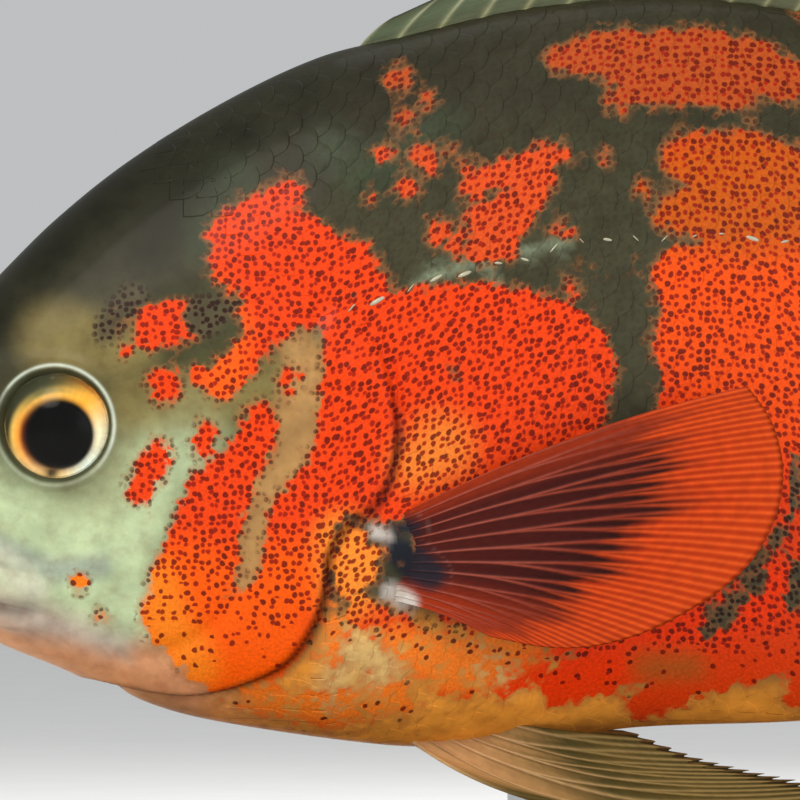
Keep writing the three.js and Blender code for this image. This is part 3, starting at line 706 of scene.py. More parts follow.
def skin():
    """One closed skin for the head, jaw, gill covers, trunk and tail stalk: a ball drawn out over the body."""
    bm = bmesh.new()
    bmesh.ops.create_uvsphere(bm, u_segments=SKIN_SIDES, v_segments=SKIN_RINGS, radius=1)
    mesh = mesh_from("fish_skin", bm)
    ball = corners_of(mesh)
    along = np.arccos(np.clip(-ball[:, 2], -1, 1)) / math.pi
    pole = (along < 0.1 / SKIN_RINGS) | (along > 1 - 0.1 / SKIN_RINGS)
    x = np.interp(np.clip(along * SKIN_RINGS / (SKIN_RINGS - 1), 0, 1), *crowded_stations())
    turn = np.where(pole, 0, np.arctan2(ball[:, 1], ball[:, 0]))
    side = np.where(turn < 0, -1.0, 1.0)
    down = np.abs(turn)
    row = mouth_turn(x)
    over_row = down * row / MOUTH_ROW
    under_row = math.pi - (math.pi - down) * (math.pi - row) / (math.pi - MOUTH_ROW)
    down = np.where(down < MOUTH_ROW, over_row, under_row)
    points = trunk_point(x, down * side)
    points[pole] = np.stack([x, 0 * x, level(x)], -1)[pole]
    out = outward(x, down * side)
    steepness = np.sqrt(1 - np.minimum(np.abs(out[:, 2]), 0.95) ** 2)
    gape = (points[:, 2] - trunk_point(x, row)[:, 2]) / steepness
    push = relief(x, points[:, 2], gape) * ease(BODY_LENGTH - x, 0, 4)
    marks = markings(x, points[:, 2], side)
    dress(mesh, points + out * push[:, None], marks, side, x, way_at(x, down), down)
    return mesh


EYE_RING = {"inner": 7.3, "width": 4.2, "steps": 30, "proud": 0.12, "sunk": 0.06, "thickness": 1.2}


def eye_ring(side):
    """The rim round one eye, finer than the skin that it rises from and sinks back into."""
    steps = EYE_RING["steps"]
    outline = [(EYE_RING["inner"] + EYE_RING["width"] * k / steps, 0.0) for k in range(steps + 1)]
    closed = outline + [(r, -1.0) for r, _ in reversed(outline)] + [outline[0]]
    mesh = spun(sided("eye_ring", side), closed)
    flat = corners_of(mesh)
    x, z = EYE["x"] + flat[:, 0], EYE["z"] + flat[:, 1]
    down = turn_of(x, z)
    from_eye = np.hypot(flat[:, 0], flat[:, 1])
    push = relief(x, z) + EYE_RING["proud"] * (1 - ease(from_eye, 9.2, 11.4)) - EYE_RING["sunk"]
    push = np.maximum(push, -3.5) + np.where(flat[:, 2] < -0.5, -EYE_RING["thickness"], 0)
    dress(mesh, raised(x, side * down, push), markings(x, z, side), side, x, way_at(x, down), down)
    face_out(mesh)
    return mesh


SCALE_PITCH = 4.3
SCALE_ROW = 3.1
SCALE_ROWS = range(-24, 26)
FIRST_SCALE, LAST_SCALE = 40, 217
FIRST_TUBE, LAST_TUBE = 80, 214
SCALE_JITTER = 0.12
SCALE_RISE = 0.13
SCALE_LIFT = 0.03
SCALE_ROOT = 0.4

# Where the scales begin, from the nape down to the gill opening and along it.
SCALED_EDGE = [
    (36, 42), (47, 33), (57, 26), (67, 18), (76, 12), (84.5, 8), (86.4, -1), (86.4, -9), (83.8, -15.5),
    (79.5, -18.6), (76.6, -23), (76, -28), (74.4, -33.5), (70, -39.6), (62, -45), (56, -52),
]


def scale_places():
    """Each scale's station, way from the lateral line, jitter and prominence, in rows half a scale apart."""
    random = np.random.default_rng(SEED)
    places = []
    for row in SCALE_ROWS:
        way = row * SCALE_ROW
        for x in np.arange(FIRST_SCALE + (row % 2) * SCALE_PITCH / 2, LAST_SCALE, SCALE_PITCH):
            station = np.array([x])
            turn = turn_at(station, np.array([way]))
            height = trunk_point(station, turn)[:, 2]
            z = height[0]
            if abs(way_at(station, turn)[0] - way) > 0.5 or z > back(x) - 1.2 or z < belly(x) + 1.0:
                continue
            behind = path_distance(station, height, SCALED_EDGE)[0]
            if behind < 3 or np.hypot(x - LOBE["x"], z - LOBE["z"]) < LOBE["radius"] + 0.5:
                continue
            prominence = ease(behind, 2, 28) * (0.3 + 0.7 * ease(z, -36, -18))
            places.append((x, way, *random.uniform(-SCALE_JITTER, SCALE_JITTER, 2), prominence))
    return np.array(places)


def scale_shape():
    """One thin closed scale, about two units long and wide, free edge to the rear."""
    bm = bmesh.new()
    bmesh.ops.create_grid(bm, x_segments=5, y_segments=5, size=1)
    bmesh.ops.solidify(bm, geom=bm.faces[:], thickness=0.1)
    return bm


def scales(side, places):
    """The flank's scales on one side, each a thin plate that follows the body and overlaps the next."""
    bm = scale_shape()
    count = len(bm.verts)
    mesh = copies(sided("scales", side), bm, len(places))
    shape = corners_of(mesh)[:count]
    u, v = (np.sign(c) * np.interp(np.abs(c), [0, 0.2, 0.6, 1], [0, 0.35, 0.92, 1]) for c in shape[:, :2].T)
    top = shape[:, 2] > shape[:, 2].mean()
    free = (u + 1) / 2
    along = (u - 0.22 * v**2 * (u > 0)) * 0.62 * SCALE_PITCH
    across = v * (1 - 0.42 * np.maximum(u, 0) ** 2) * 0.98 * SCALE_ROW
    rim = 1 - np.maximum(np.abs(u), np.abs(v)) ** 6
    proud = SCALE_RISE * free**1.2 + 0.03 * rim - 0.02 * v**2
    station, row_way, slide, shift, prominence = places.T[:, :, None]
    lift = np.where(top, SCALE_LIFT + proud * (0.1 + 0.9 * prominence), -SCALE_ROOT).ravel()
    x = np.clip(station + slide + along, SNOUT + 1, BODY_LENGTH - 0.2).ravel()
    way = (row_way + shift + across).ravel()
    down = turn_at(x, way)
    z = trunk_point(x, down)[:, 2]
    marks = markings(x, z, side)
    centre_z = trunk_point(places[:, 0], turn_at(places[:, 0], places[:, 1]))[:, 2]
    whole = np.repeat(markings(places[:, 0], centre_z, side)["orange"], count)
    marks["orange"] = 0.8 * marks["orange"] + 0.2 * whole
    dress(mesh, raised(x, side * down, relief(x, z) + lift), marks, side, x, way, down)
    face_out(mesh)
    return mesh


# Each tube of the lateral line varies in size and tilt, and in its place along and across: (least, most).
TUBE_SPREADS = [(0.3, 1.25), (-0.6, 0.5), (-0.6, 0.6), (-0.45, 0.45)]


def lateral_tubes(side):
    """The pale pored tubes of the lateral line, one on each scale of its row."""
    stations = np.arange(FIRST_TUBE, LAST_TUBE, SCALE_PITCH)
    bm = bmesh.new()
    bmesh.ops.create_uvsphere(bm, u_segments=10, v_segments=8, radius=1)
    count = len(bm.verts)
    mesh = copies(sided("lateral_line", side), bm, len(stations))
    shape = corners_of(mesh)[:count]
    random = np.random.default_rng(SEED + 1)
    size, tilt, slide, shift = (random.uniform(*spread, len(stations))[:, None] for spread in TUBE_SPREADS)
    x = (stations[:, None] + slide + shape[:, 0] * 0.95 * size).ravel()
    way = (shift + shape[:, 1] * 0.33 * size + shape[:, 0] * tilt).ravel()
    down = turn_at(x, way)
    lift = np.tile(0.05 + 0.3 * shape[:, 2], len(stations))
    move_to(mesh, raised(x, side * down, relief(x, trunk_point(x, down)[:, 2]) + lift))
    return mesh


# Fins: one closed sheet each, wrapped round its tip, with every ray raised on both faces

SINK = 0.8
RAY_PITCH = 3
RAY_LENGTH = 40


def ray_height(index, t, soft, split, fork):
    """How high the rays stand at a place between them, from 0 to 1. Soft rays fork, and fork again."""
    spread = 0.25 * ease(t, split, split + 0.35) * soft
    again = 0.125 * ease(t, fork, fork + 0.28) * soft
    away = np.abs(index - np.round(index))
    away = np.abs(np.abs(away - spread) - again)
    return bell(away, 0.13 - 0.05 * t)


def bent_ray(root, degrees, length, bend, t):
    """A ray's points in side view: it leaves its root at an angle over the horizontal and turns by a bend."""
    angle = np.radians(degrees + bend * (t - 0.5))
    return root[0] + np.cos(angle) * length * t, root[1] + np.sin(angle) * length * t


def fin(
    name, rays, rows, columns, ray, thick, spines=0, split=0.45, fork=0.72, notch=0.02, tone=None, warm=None,
):
    """A fin as a closed sheet. ray(index, t) gives its middle, and thick(t) half its web and a ray's height."""
    bm = bmesh.new()
    bmesh.ops.create_grid(bm, x_segments=(rays - 1) * columns, y_segments=2 * rows, size=1)
    mesh = mesh_from(name, bm)
    flat = corners_of(mesh)
    index = (flat[:, 0] + 1) / 2 * (rays - 1)
    face = np.where(flat[:, 1] > 0, 1.0, -1.0)
    t = 1 - np.abs(flat[:, 1])
    soft = (index > spines - 0.5).astype(float)
    ridge = ray_height(index, t, soft, split, fork)
    reach = t * (1 - notch * (1 - ridge) * ease(t, 0.6, 1))
    middle = ray(index, reach)
    across = ray(index + 0.02, reach) - ray(index - 0.02, reach)
    along = ray(index, reach + 0.005) - ray(index, reach - 0.005)
    normal = np.cross(across, along)
    normal /= np.maximum(np.linalg.norm(normal, axis=-1, keepdims=True), 1e-9)
    web, height = thick(t)
    ends = np.minimum(index, rays - 1 - index)
    body = (web + height * ridge) * ease(ends, 0, 0.12) * ease(t, 0, 0.01) * (1 - ease(t, 0.97, 1))
    move_to(mesh, middle + normal * (face * body)[:, None])
    blotch = ease(chain_field(middle[:, 0], middle[:, 2], ROOT_BLOTCH), -1.6, 0.6)
    light = ease(chain_field(middle[:, 0], middle[:, 2], ROOT_SPOTS), -1.4, 0.6)
    tint = painted(ROOT_WHITE, [(ROOT_BLUE, blotch / np.maximum(blotch + light, 1e-3))])
    tint[:, 3] = np.maximum(blotch * 0.9, light)
    give(mesh, "ridge", "FLOAT", ridge)
    give(mesh, "tone", "FLOAT", tone(index, t) if tone else t)
    give(mesh, "warm", "FLOAT", warm(index) if warm else 0 * t)
    give(mesh, "root_tint", "FLOAT_COLOR", tint)
    give(mesh, "place", "FLOAT_VECTOR", np.stack([index * RAY_PITCH, t * RAY_LENGTH, 0 * t], -1))
    face_out(mesh, merge=1e-7)
    return mesh


def thin(base, web, height):
    """A fin's thickness by the way out: a web with a fleshy base, and rays that fade to the tip."""
    return lambda t: (web + base * np.maximum(1 - 7 * t, 0), height * (1 - t) ** 0.7)


def edge_rays(station, edge, sink, length, lean, bend, sway):
    """The rays of a fin on the body's edge: each leans back and bends, and its tip sways aside."""
    def ray(i, t):
        x = station(i)
        px, pz = bent_ray((x, edge(x) - sink), lean(i), length(i) + abs(sink), bend, t)
        return np.stack([px, sway(i) * t * t, pz], -1)

    return ray


def dorsal_fin():
    """13 spines, then 20 soft rays that make a rounded lobe over the tail."""
    station = profile([(0, 80.5), (12, 151), (32, 201)])
    length = profile([
        (0, 7), (1, 11), (2, 14.5), (4, 19), (8, 22.5), (12, 25), (18, 35), (24, 45), (28, 44), (32, 27),
    ])
    lean = profile([(0, 50), (6, 53), (12, 48), (18, 38), (24, 24), (28, 13), (32, 0)])
    ray = edge_rays(station, back, SINK, length, lean, -14, lambda i: 5 * (i / 33) ** 2)
    return fin(
        "fin_dorsal", 33, 40, 8, ray, thin(0.9, 0.16, 0.42), spines=13, notch=0.07,
        tone=lambda i, t: t + 0.35 * ease(i, 12, 30),
        warm=profile([(0, 0), (12, 0.05), (20, 0.3), (32, 0.42)]),
    )


def anal_fin():
    """3 spines and 16 soft rays."""
    station = profile([(0, 148), (9, 172), (18, 198)])
    length = profile([(0, 7), (1, 12), (2, 17), (4, 25), (9, 40), (13, 45), (16, 40), (18, 26)])
    lean = profile([(0, -58), (4, -52), (9, -38), (13, -24), (16, -12), (18, -2)])
    ray = edge_rays(station, belly, -SINK, length, lean, 14, lambda i: -3 * i / 19)
    return fin("fin_anal", 19, 40, 10, ray, thin(0.9, 0.16, 0.4), spines=3, notch=0.05)


def tail_fin():
    """A rounded fan of 18 rays on a fleshy root."""
    rays, top, bottom = 18, 21, -16.6
    middle = (rays - 1) / 2

    def ray(i, t):
        share = (i - middle) / middle
        root = (BODY_LENGTH - SINK, (top + bottom) / 2 + share * (top - bottom) / 2)
        length = 47 - 11 * np.abs(share) ** 2.6 + SINK
        px, pz = bent_ray(root, share * 19, length, -12 * share, t)
        return np.stack([px, 4.5 * t * t, pz], -1)

    def thick(t):
        return 0.16 + 3.4 * np.maximum(1 - 5 * t, 0), 0.42 * (1 - t) ** 0.7

    return fin("fin_tail", rays, 44, 12, ray, thick)


def pectoral_fin(side, flare):
    """The fan of 14 rays, held a little out from the flank. Its wine middle ends further out at the top."""
    x0, top, bottom, centre = 91.5, -17.8, -30.2, -23.8
    out = math.radians(flare)
    stand = reach_at(x0, centre) + 1.2
    fan = profile([(0, 54), (2, 55), (4, 53.5), (6, 48), (8, 38), (10, 28), (12, 18), (13, 14.5)])
    wine_end = profile([(0, 0.74), (2, 0.72), (5, 0.69), (8, 0.69), (10, 0.74), (13, 0.95)])

    def ray(i, t):
        share = i / 13
        angle = np.radians(28.6 - 3.6 * i - 0.2 * i * i)
        reach = fan(i)
        root_x, root_z = x0 - 5.4 + 0.8 * share, top + (bottom - top) * share
        tip_x, tip_z = x0 + reach * np.cos(angle), centre + reach * np.sin(angle)
        px = root_x + (tip_x - root_x) * t
        pz = root_z + (tip_z - root_z) * t + 0.16 * t * (1 - t) * reach
        away = math.sin(out) * reach * t * (1.15 - 0.25 * t) - 2.2 * (1 - ease(t, 0, 0.09))
        return np.stack([px, side * (stand + away + 0 * px), pz], -1)

    return fin(
        sided("fin_pectoral", side), 14, 60, 24, ray, thin(0.7, 0.13, 0.2),
        split=0.26, fork=0.48, notch=0.002,
        tone=lambda i, t: 0.6 + t - wine_end(i),
        warm=profile([(0, 0.9), (1.2, 0.5), (2.6, 0), (8, 0), (9.5, 0.35), (11, 0.75), (13, 1)]),
    )


def pelvic_fin(side, flare):
    """The fin under the belly: one spine and five branched rays that stream back."""
    tip_x = profile([(0, 116), (1, 155), (2, 151), (3, 142), (4, 132.5), (5, 122.5)])
    tip_z = profile([(0, -62.5), (1, -61.4), (2, -59), (3, -57), (4, -54.6), (5, -50.6)])
    sag = profile([(0, 3), (1, 9), (2, 6.6), (3, 4.4), (4, 2.8), (5, 0.8)])
    away = profile([(0, 6), (1, 12), (2, 12), (3, 11), (4, 9.5), (5, 8)])

    def ray(i, t):
        root = np.stack([86 + 1.9 * i, 3.6 + 0 * i, -49.5 + 0.5 * i], -1)
        tip = np.stack([tip_x(i), 3.6 + away(i) * flare, tip_z(i)], -1)
        here = root + (tip - root) * t[..., None]
        here[..., 2] -= sag(i) * 4 * t * (1 - t) * (1 - 0.4 * t)
        here[..., 1] += 2.4 * np.sin(math.pi * np.clip(t, 0, 1)) * (1 - i / 12)
        here[..., 1] *= side
        return here

    return fin(
        sided("fin_pelvic", side), 6, 60, 28, ray, thin(0.9, 0.16, 0.4),
        spines=1, split=0.2, fork=0.5, notch=0.05,
    )


# Eyes

EYE_LEAN = {"back": -0.14, "up": 0.05}
PUPIL = {"back": 0.4, "down": 1.4, "radius": 5.4}
IRIS_THREADS = 9


def eye_axis(side):
    """The way that an eye looks: out, and a little forward and up."""
    return Vector((EYE_LEAN["back"], side, EYE_LEAN["up"])).normalized()


def turned_out(points, side):
    """Points drawn along Z, turned onto an eye's axis."""
    turn = np.array(Vector((0, 0, 1)).rotation_difference(eye_axis(side)).to_matrix())
    return points @ turn.T


def eye_middle(side):
    """Where an eye sits in its socket."""
    return EYE["x"], side * (reach_at(EYE["x"], EYE["z"]) - EYE["seat"]), EYE["z"]


def iris_colours(back, up):
    """The painted eye, by millimetres back and up from the pupil's centre."""
    radius = np.hypot(back, up)
    round_it = np.degrees(np.arctan2(up, back))

    def sector(middle, width):
        away = np.abs((round_it - middle + 180) % 360 - 180)
        return bell(away, width)

    notch = bell(back + 1.0, 1.1) * ease(-up, 5.0, 5.4) * (1 - ease(-up, 6.0, 6.9))
    layers = [
        ("#ffb63a", sector(50, 38)),
        ("#c46a2c", sector(50, 34) * ease(radius, 7.6, 8.6)),
        ("#fbeec0", sector(0, 26)),
        ("#dfeedc", sector(-45, 36)),
        ("#dfc48a", sector(-130, 30)),
        ("#ffa63a", sector(180, 46) * (1 - ease(radius, 6.1, 7.2))),
        # Painted shade from the eye's rim: olive over the iris's upper front, and dark olive round its outer
        # edge.
        ("#6a6638", ease(radius, 5.9, 6.6) * sector(112, 42)),
        ("#3b3e2a", ease(radius, 6.9, 7.7) * (1 - sector(40, 40)) * (1 - sector(-45, 30))),
        ("#5a0d06", bell(radius - PUPIL["radius"], 0.55) * (0.35 + 0.65 * sector(180, 70))),
        ("#020202", 1 - ease(radius, PUPIL["radius"] - 0.35, PUPIL["radius"] + 0.1)),
        ("#1a0c08", notch),
    ]
    return painted(linear("#ffd067"), [(linear(code), share) for code, share in layers])


def eyeball(side):
    """The opaque eye: a sunk pupil set low and a little back, in a gently raised iris."""
    outline = [(7.95 * k / 40, -0.9) for k in range(41)] + [(7.2, -3.4), (5, -5), (0, -5.4)]
    mesh = spun(sided("eyeball", side), outline)
    points = corners_of(mesh)
    turned = turned_out(points, side)
    back, up = turned[:, 0] - PUPIL["back"], turned[:, 2] + PUPIL["down"]
    radius = np.hypot(back, up)
    on_front = points[:, 2] > -1
    lift = on_front * (0.45 * bell(radius - 6.3, 0.8) - 0.5 * (1 - ease(radius, 4.7, 5.5)))
    move_to(mesh, turned + lift[:, None] * np.array(eye_axis(side)) + eye_middle(side))
    give(mesh, "tint", "FLOAT_COLOR", iris_colours(back, up))
    threads = IRIS_THREADS * np.stack([back, up], -1) / np.maximum(radius, 1)[:, None]
    give(mesh, "spokes", "FLOAT_VECTOR", np.column_stack([threads, 0.4 * radius]))
    return mesh


def cornea(side):
    """The clear dome over the eye."""
    radius, bulge = EYE["radius"] - 0.05, EYE["bulge"] - 0.05
    ball = (radius**2 + bulge**2) / (2 * bulge)
    outer = [(radius * k / 18, math.sqrt(ball**2 - (radius * k / 18) ** 2) - ball + bulge) for k in range(19)]
    inner = [(r * 0.95, h - 0.3) for r, h in reversed(outer)]
    mesh = spun(sided("cornea", side), outer + inner)
    move_to(mesh, turned_out(corners_of(mesh), side) + eye_middle(side))
    return mesh


# Materials

# What many of their nodes have in common, and a colour mix's sockets for its share and its two colours.
COLOURS = {"data_type": "RGBA"}
SMOOTH = {"interpolation_type": "SMOOTHSTEP"}
TIMES, TIMES_PLUS, MINUS = {"operation": "MULTIPLY"}, {"operation": "MULTIPLY_ADD"}, {"operation": "SUBTRACT"}
STRETCH = {"operation": "SCALE"}
SHARE, UNDER, OVER = 0, 6, 7

# Sizes of the patterns, in mm: (along, across) where there are two. A walnut's pores are about 0.2 mm wide, and
# the lines of brushed steel under 0.1 mm. Both are drawn coarser, so that they show.
DOT_CELL = 1.15
DOT_WOBBLE = 1.5
MOTTLE = 7
RAGGED_EDGE = 2.4
FINE_GRAIN = 0.5
FIN_STREAK = (20, 1.82)
FIN_GRAIN = 1.11
PEARL_CLOUD = 2
WOOD_GRAIN = (55.6, 5.56)
WOOD_PORE = (12.5, 0.714)
BRUSH_LINE = (25, 0.25)
BOARD_CLOUD = 25

# The photograph shows the fish under water, with hardly any shine.
DULL = {"Specular IOR Level": 0.08}


def add(tree, kind, settings=(), inputs=()):
    """Adds one node with its settings and links. A ramp's stops are (position, hex code) pairs.

    An input is a value, a socket, or a node that stands for its first live output.
    """
    node = tree.nodes.new(f"ShaderNode{kind}")
    settings = dict(settings)
    for k, (position, code) in enumerate(settings.pop("stops", ())):
        stop = node.color_ramp.elements[k] if k < 2 else node.color_ramp.elements.new(position)
        stop.position = position
        stop.color = linear(code)
    for name, value in settings.items():
        setattr(node, name, value)
    for name, value in dict(inputs).items():
        if isinstance(value, bpy.types.Node):
            value = next(socket for socket in value.outputs if socket.enabled)
        if isinstance(value, bpy.types.NodeSocket):
            tree.links.new(value, node.inputs[name])
        else:
            node.inputs[name].default_value = value
    return node


def per_size(*sizes):
    """The scale of a pattern in metres that gives its features these sizes in mm."""
    return [1 / (size * MM) for size in sizes]


def material(name):
    """A new material and its empty tree."""
    made = bpy.data.materials.new(name)
    made.use_nodes = True
    made.node_tree.nodes.clear()
    return made, made.node_tree


def surface(tree, colour, roughness, bump=None, strength=0.3, depth=0.2, settings=()):
    """The shader at the end of a material. depth is the bump's height in mm."""
    inputs = {"Base Color": colour, "Roughness": roughness, **dict(settings)}
    if bump is not None:
        inputs["Normal"] = add(tree, "Bump", (), {"Height": bump, "Strength": strength, "Distance": depth * MM})
    add(tree, "OutputMaterial", (), {"Surface": add(tree, "BsdfPrincipled", (), inputs)})


def fish_skin_paint(name, bumpiness):
    """Airbrushed resin, varnished thin: a soft mottled ground under ragged orange with dark red dots."""
    made, tree = material(name)
    reads = {
        "place": "Vector", "ground": "Color", "orange": "Fac", "dots": "Fac", "orange_tint": "Color",
        "gill_shadow": "Fac",
    }
    place, ground, orange, dots, flame, gill_shadow = (
        add(tree, "Attribute", {"attribute_name": attribute}).outputs[output]
        for attribute, output in reads.items()
    )
    noises = [(DOT_WOBBLE, 2, 0.5), (MOTTLE, 5, 0.62), (RAGGED_EDGE, 3, 0.5), (FINE_GRAIN, 2, 0.5)]
    wobble, mottle, rag, fine = (
        add(tree, "TexNoise", (), {"Vector": place, "Scale": 1 / size, "Detail": detail, "Roughness": rough})
        for size, detail, rough in noises
    )
    bend = add(tree, "VectorMath", TIMES_PLUS, {0: wobble.outputs["Color"], 1: (0.75, 0.75, 0), 2: place})
    cells = add(tree, "TexVoronoi", {"voronoi_dimensions": "2D"},
                {"Vector": bend, "Scale": 1 / DOT_CELL, "Randomness": 0.72})
    chance = add(tree, "SeparateColor", (), {"Color": cells.outputs["Color"]}).outputs

    # The depth inside the orange, in mm, is moved by each dot's cell and by noise, so that its edge is ragged.
    by_cell = add(tree, "Math", TIMES_PLUS, {0: chance["Red"], 1: 0.9, 2: orange})
    inside = add(tree, "Math", TIMES_PLUS, {0: rag, 1: 3.0, 2: by_cell})
    is_orange = add(tree, "MapRange", SMOOTH, {"Value": inside, "From Min": 1.35, "From Max": 2.35})
    halo = add(tree, "MapRange", SMOOTH, {"Value": inside, "From Min": 0.3, "From Max": 1.6, "To Max": 0.4})

    # The ground and the orange, each a little uneven, and a brown halo where they meet
    patchy = add(tree, "MapRange", (),
                 {"Value": mottle, "From Min": 0.35, "From Max": 0.65, "To Min": 0.82, "To Max": 1.16})
    base = add(tree, "VectorMath", STRETCH, {0: ground, "Scale": patchy})
    brown = add(tree, "MapRange", (), {"Value": rag, "From Min": 0.45, "From Max": 0.75, "To Max": 0.28})
    mottled = add(tree, "Mix", {**COLOURS, "blend_type": "MULTIPLY"},
                  {SHARE: brown, UNDER: base, OVER: linear("#b07a68")})
    haloed = add(tree, "Mix", COLOURS, {SHARE: halo, UNDER: mottled, OVER: linear("#a5693a")})
    glow = add(tree, "MapRange", (),
               {"Value": fine, "From Min": 0.3, "From Max": 0.7, "To Min": 0.86, "To Max": 1.16})
    warm = add(tree, "VectorMath", STRETCH, {0: flame, "Scale": glow})
    hue = add(tree, "Mix", COLOURS, {SHARE: is_orange, UNDER: haloed, OVER: warm})

    # The dots: one in each cell that is kept, of varied size and red, and darker on the ground
    size = add(tree, "Math", TIMES_PLUS, {0: chance["Green"], 1: 0.13, 2: 0.28})
    kept = add(tree, "Math", {"operation": "LESS_THAN"}, {0: chance["Blue"], 1: dots})
    reach = add(tree, "Math", TIMES, {0: size, 1: kept})
    gap = add(tree, "Math", MINUS, {0: reach, 1: cells.outputs["Distance"]})
    dot = add(tree, "MapRange", SMOOTH, {"Value": gap, "From Min": -0.07, "From Max": 0.09})
    near = add(tree, "MapRange", (), {"Value": inside, "From Min": 0.4, "From Max": 1.7, "To Max": 0.9})
    over_dark = add(tree, "Math", MINUS, {0: dots, 1: 1.0})
    nearer = add(tree, "Math", {"operation": "MAXIMUM"}, {0: near, 1: over_dark})
    dotted = add(tree, "Math", TIMES, {0: dot, 1: nearer})
    ink = add(tree, "Mix", COLOURS, {SHARE: chance["Green"], UNDER: linear("#9c1a0a"), OVER: linear("#560e08")})
    pigment = add(tree, "Mix", COLOURS, {SHARE: is_orange, UNDER: linear("#2c1913"), OVER: ink})
    spotted = add(tree, "Mix", COLOURS, {SHARE: dotted, UNDER: hue, OVER: pigment})
    # Painted shadow along the gill cover's edge, in dark red-brown
    gill_shadow_share = add(tree, "Math", TIMES, {0: gill_shadow, 1: 0.92})
    colour = add(tree, "Mix", COLOURS, {SHARE: gill_shadow_share, UNDER: spotted, OVER: linear("#3a0e0a")})
    gloss = add(tree, "MapRange", (), {"Value": mottle, "To Min": 0.36, "To Max": 0.56})
    bump = add(tree, "Math", TIMES_PLUS, {0: dot, 1: 0.3, 2: fine})
    surface(tree, colour, gloss, bump, bumpiness, 0.08, {"Coat Weight": 0.04, "Coat Roughness": 0.12, **DULL})
    return made


def fin_membrane(name, web_stops, ray_stops, clear=0.92):
    """Thin tinted resin: web and rays change colour on the way out, and the web lets some light through."""
    made, tree = material(name)
    reads = {"place": "Vector", "ridge": "Fac", "tone": "Fac", "warm": "Fac"}
    place, ridge, tone, warm = (
        add(tree, "Attribute", {"attribute_name": attribute}).outputs[output]
        for attribute, output in reads.items()
    )
    root = add(tree, "Attribute", {"attribute_name": "root_tint"}).outputs
    streak_length, streak_width = FIN_STREAK
    long = add(tree, "Mapping", (), {"Vector": place, "Scale": (1 / streak_width, 1 / streak_length, 1)})
    streaks = add(tree, "TexNoise", (), {"Vector": long, "Scale": 1, "Detail": 4})
    grain = add(tree, "TexNoise", (), {"Vector": place, "Scale": 1 / FIN_GRAIN, "Detail": 3})
    shift = add(tree, "MapRange", (), {"Value": streaks, "To Min": -0.22, "To Max": 0.22})
    shifted = add(tree, "Math", {"operation": "ADD"}, {0: tone, 1: shift})
    cool_web = add(tree, "ValToRGB", {"stops": web_stops}, {"Fac": shifted})
    web = add(tree, "Mix", COLOURS, {SHARE: warm, UNDER: cool_web, OVER: linear("#9c300e")})
    rays = add(tree, "ValToRGB", {"stops": ray_stops}, {"Fac": shifted})
    line = add(tree, "Math", {"operation": "POWER"}, {0: ridge, 1: 2.0})
    lined = add(tree, "Mix", COLOURS, {SHARE: line, UNDER: web, OVER: rays})
    colour = add(tree, "Mix", COLOURS, {SHARE: root["Alpha"], UNDER: lined, OVER: root["Color"]})
    shade = add(tree, "MapRange", (), {"Value": grain, "To Min": 0.7, "To Max": 1.3})
    grained = add(tree, "VectorMath", STRETCH, {0: colour, "Scale": shade})
    solid = add(tree, "MapRange", (), {"Value": ridge, "To Min": clear, "To Max": 1.0})
    surface(tree, grained, 0.5, grain, 0.2, 0.08, {"Alpha": solid, **DULL})
    return made


def eye_paint():
    """A glass eye painted behind: a black pupil with a wine rim, and a gold iris with fine threads."""
    made, tree = material("hand_painted_glass_eye")
    tint = add(tree, "Attribute", {"attribute_name": "tint"}).outputs["Color"]
    spokes = add(tree, "Attribute", {"attribute_name": "spokes"}).outputs["Vector"]
    threads = add(tree, "TexNoise", (), {"Vector": spokes, "Scale": 1, "Detail": 3})
    shade = add(tree, "MapRange", (), {"Value": threads, "To Min": 0.86, "To Max": 1.3})
    colour = add(tree, "VectorMath", STRETCH, {0: tint, "Scale": shade})
    surface(tree, colour, 0.4, threads, 0.15, 0.1, DULL)
    return made


def clear_cornea():
    """Cast clear acrylic, polished: a small sharp highlight shows, and a low IOR leaves the iris undistorted."""
    made, tree = material("polished_clear_acrylic")
    surface(tree, linear("#ffffff"), 0.04, settings={"Transmission Weight": 1.0, "IOR": 1.2, "Alpha": 0.3})
    return made


def pore_tube_paint():
    """Pearly white resin, nearly wet: each tube catches the light and clouds a little."""
    made, tree = material("pearl_white_resin")
    place = add(tree, "TexCoord").outputs["Object"]
    cloud = add(tree, "TexNoise", (), {"Vector": place, "Scale": 1 / (PEARL_CLOUD * MM)})
    colour = add(tree, "ValToRGB", {"stops": [(0, "#7c775a"), (1, "#c6c4a8")]}, {"Fac": cloud})
    surface(tree, colour, 0.25, cloud, 0.2, 0.1, {"Coat Weight": 0.5})
    return made


def stained_hardwood():
    """Walnut stained dark and rubbed with satin varnish: long grain and open pores."""
    made, tree = material("stained_walnut")
    place = add(tree, "TexCoord").outputs["Object"]
    along_grain, along_pores = (
        add(tree, "Mapping", (), {"Vector": place, "Scale": per_size(length, width, width)})
        for length, width in (WOOD_GRAIN, WOOD_PORE)
    )
    grain = add(tree, "TexNoise", (), {"Vector": along_grain, "Scale": 1, "Detail": 6, "Distortion": 0.8})
    pores = add(tree, "TexNoise", (), {"Vector": along_pores, "Scale": 1, "Detail": 2})
    colour = add(tree, "ValToRGB", {"stops": [(0.35, "#2a1a10"), (0.65, "#5c3b22")]}, {"Fac": grain})
    rough = add(tree, "MapRange", (), {"Value": pores, "To Min": 0.28, "To Max": 0.5})
    surface(tree, colour, rough, pores, 0.25, 0.15, {"Coat Weight": 0.3})
    return made


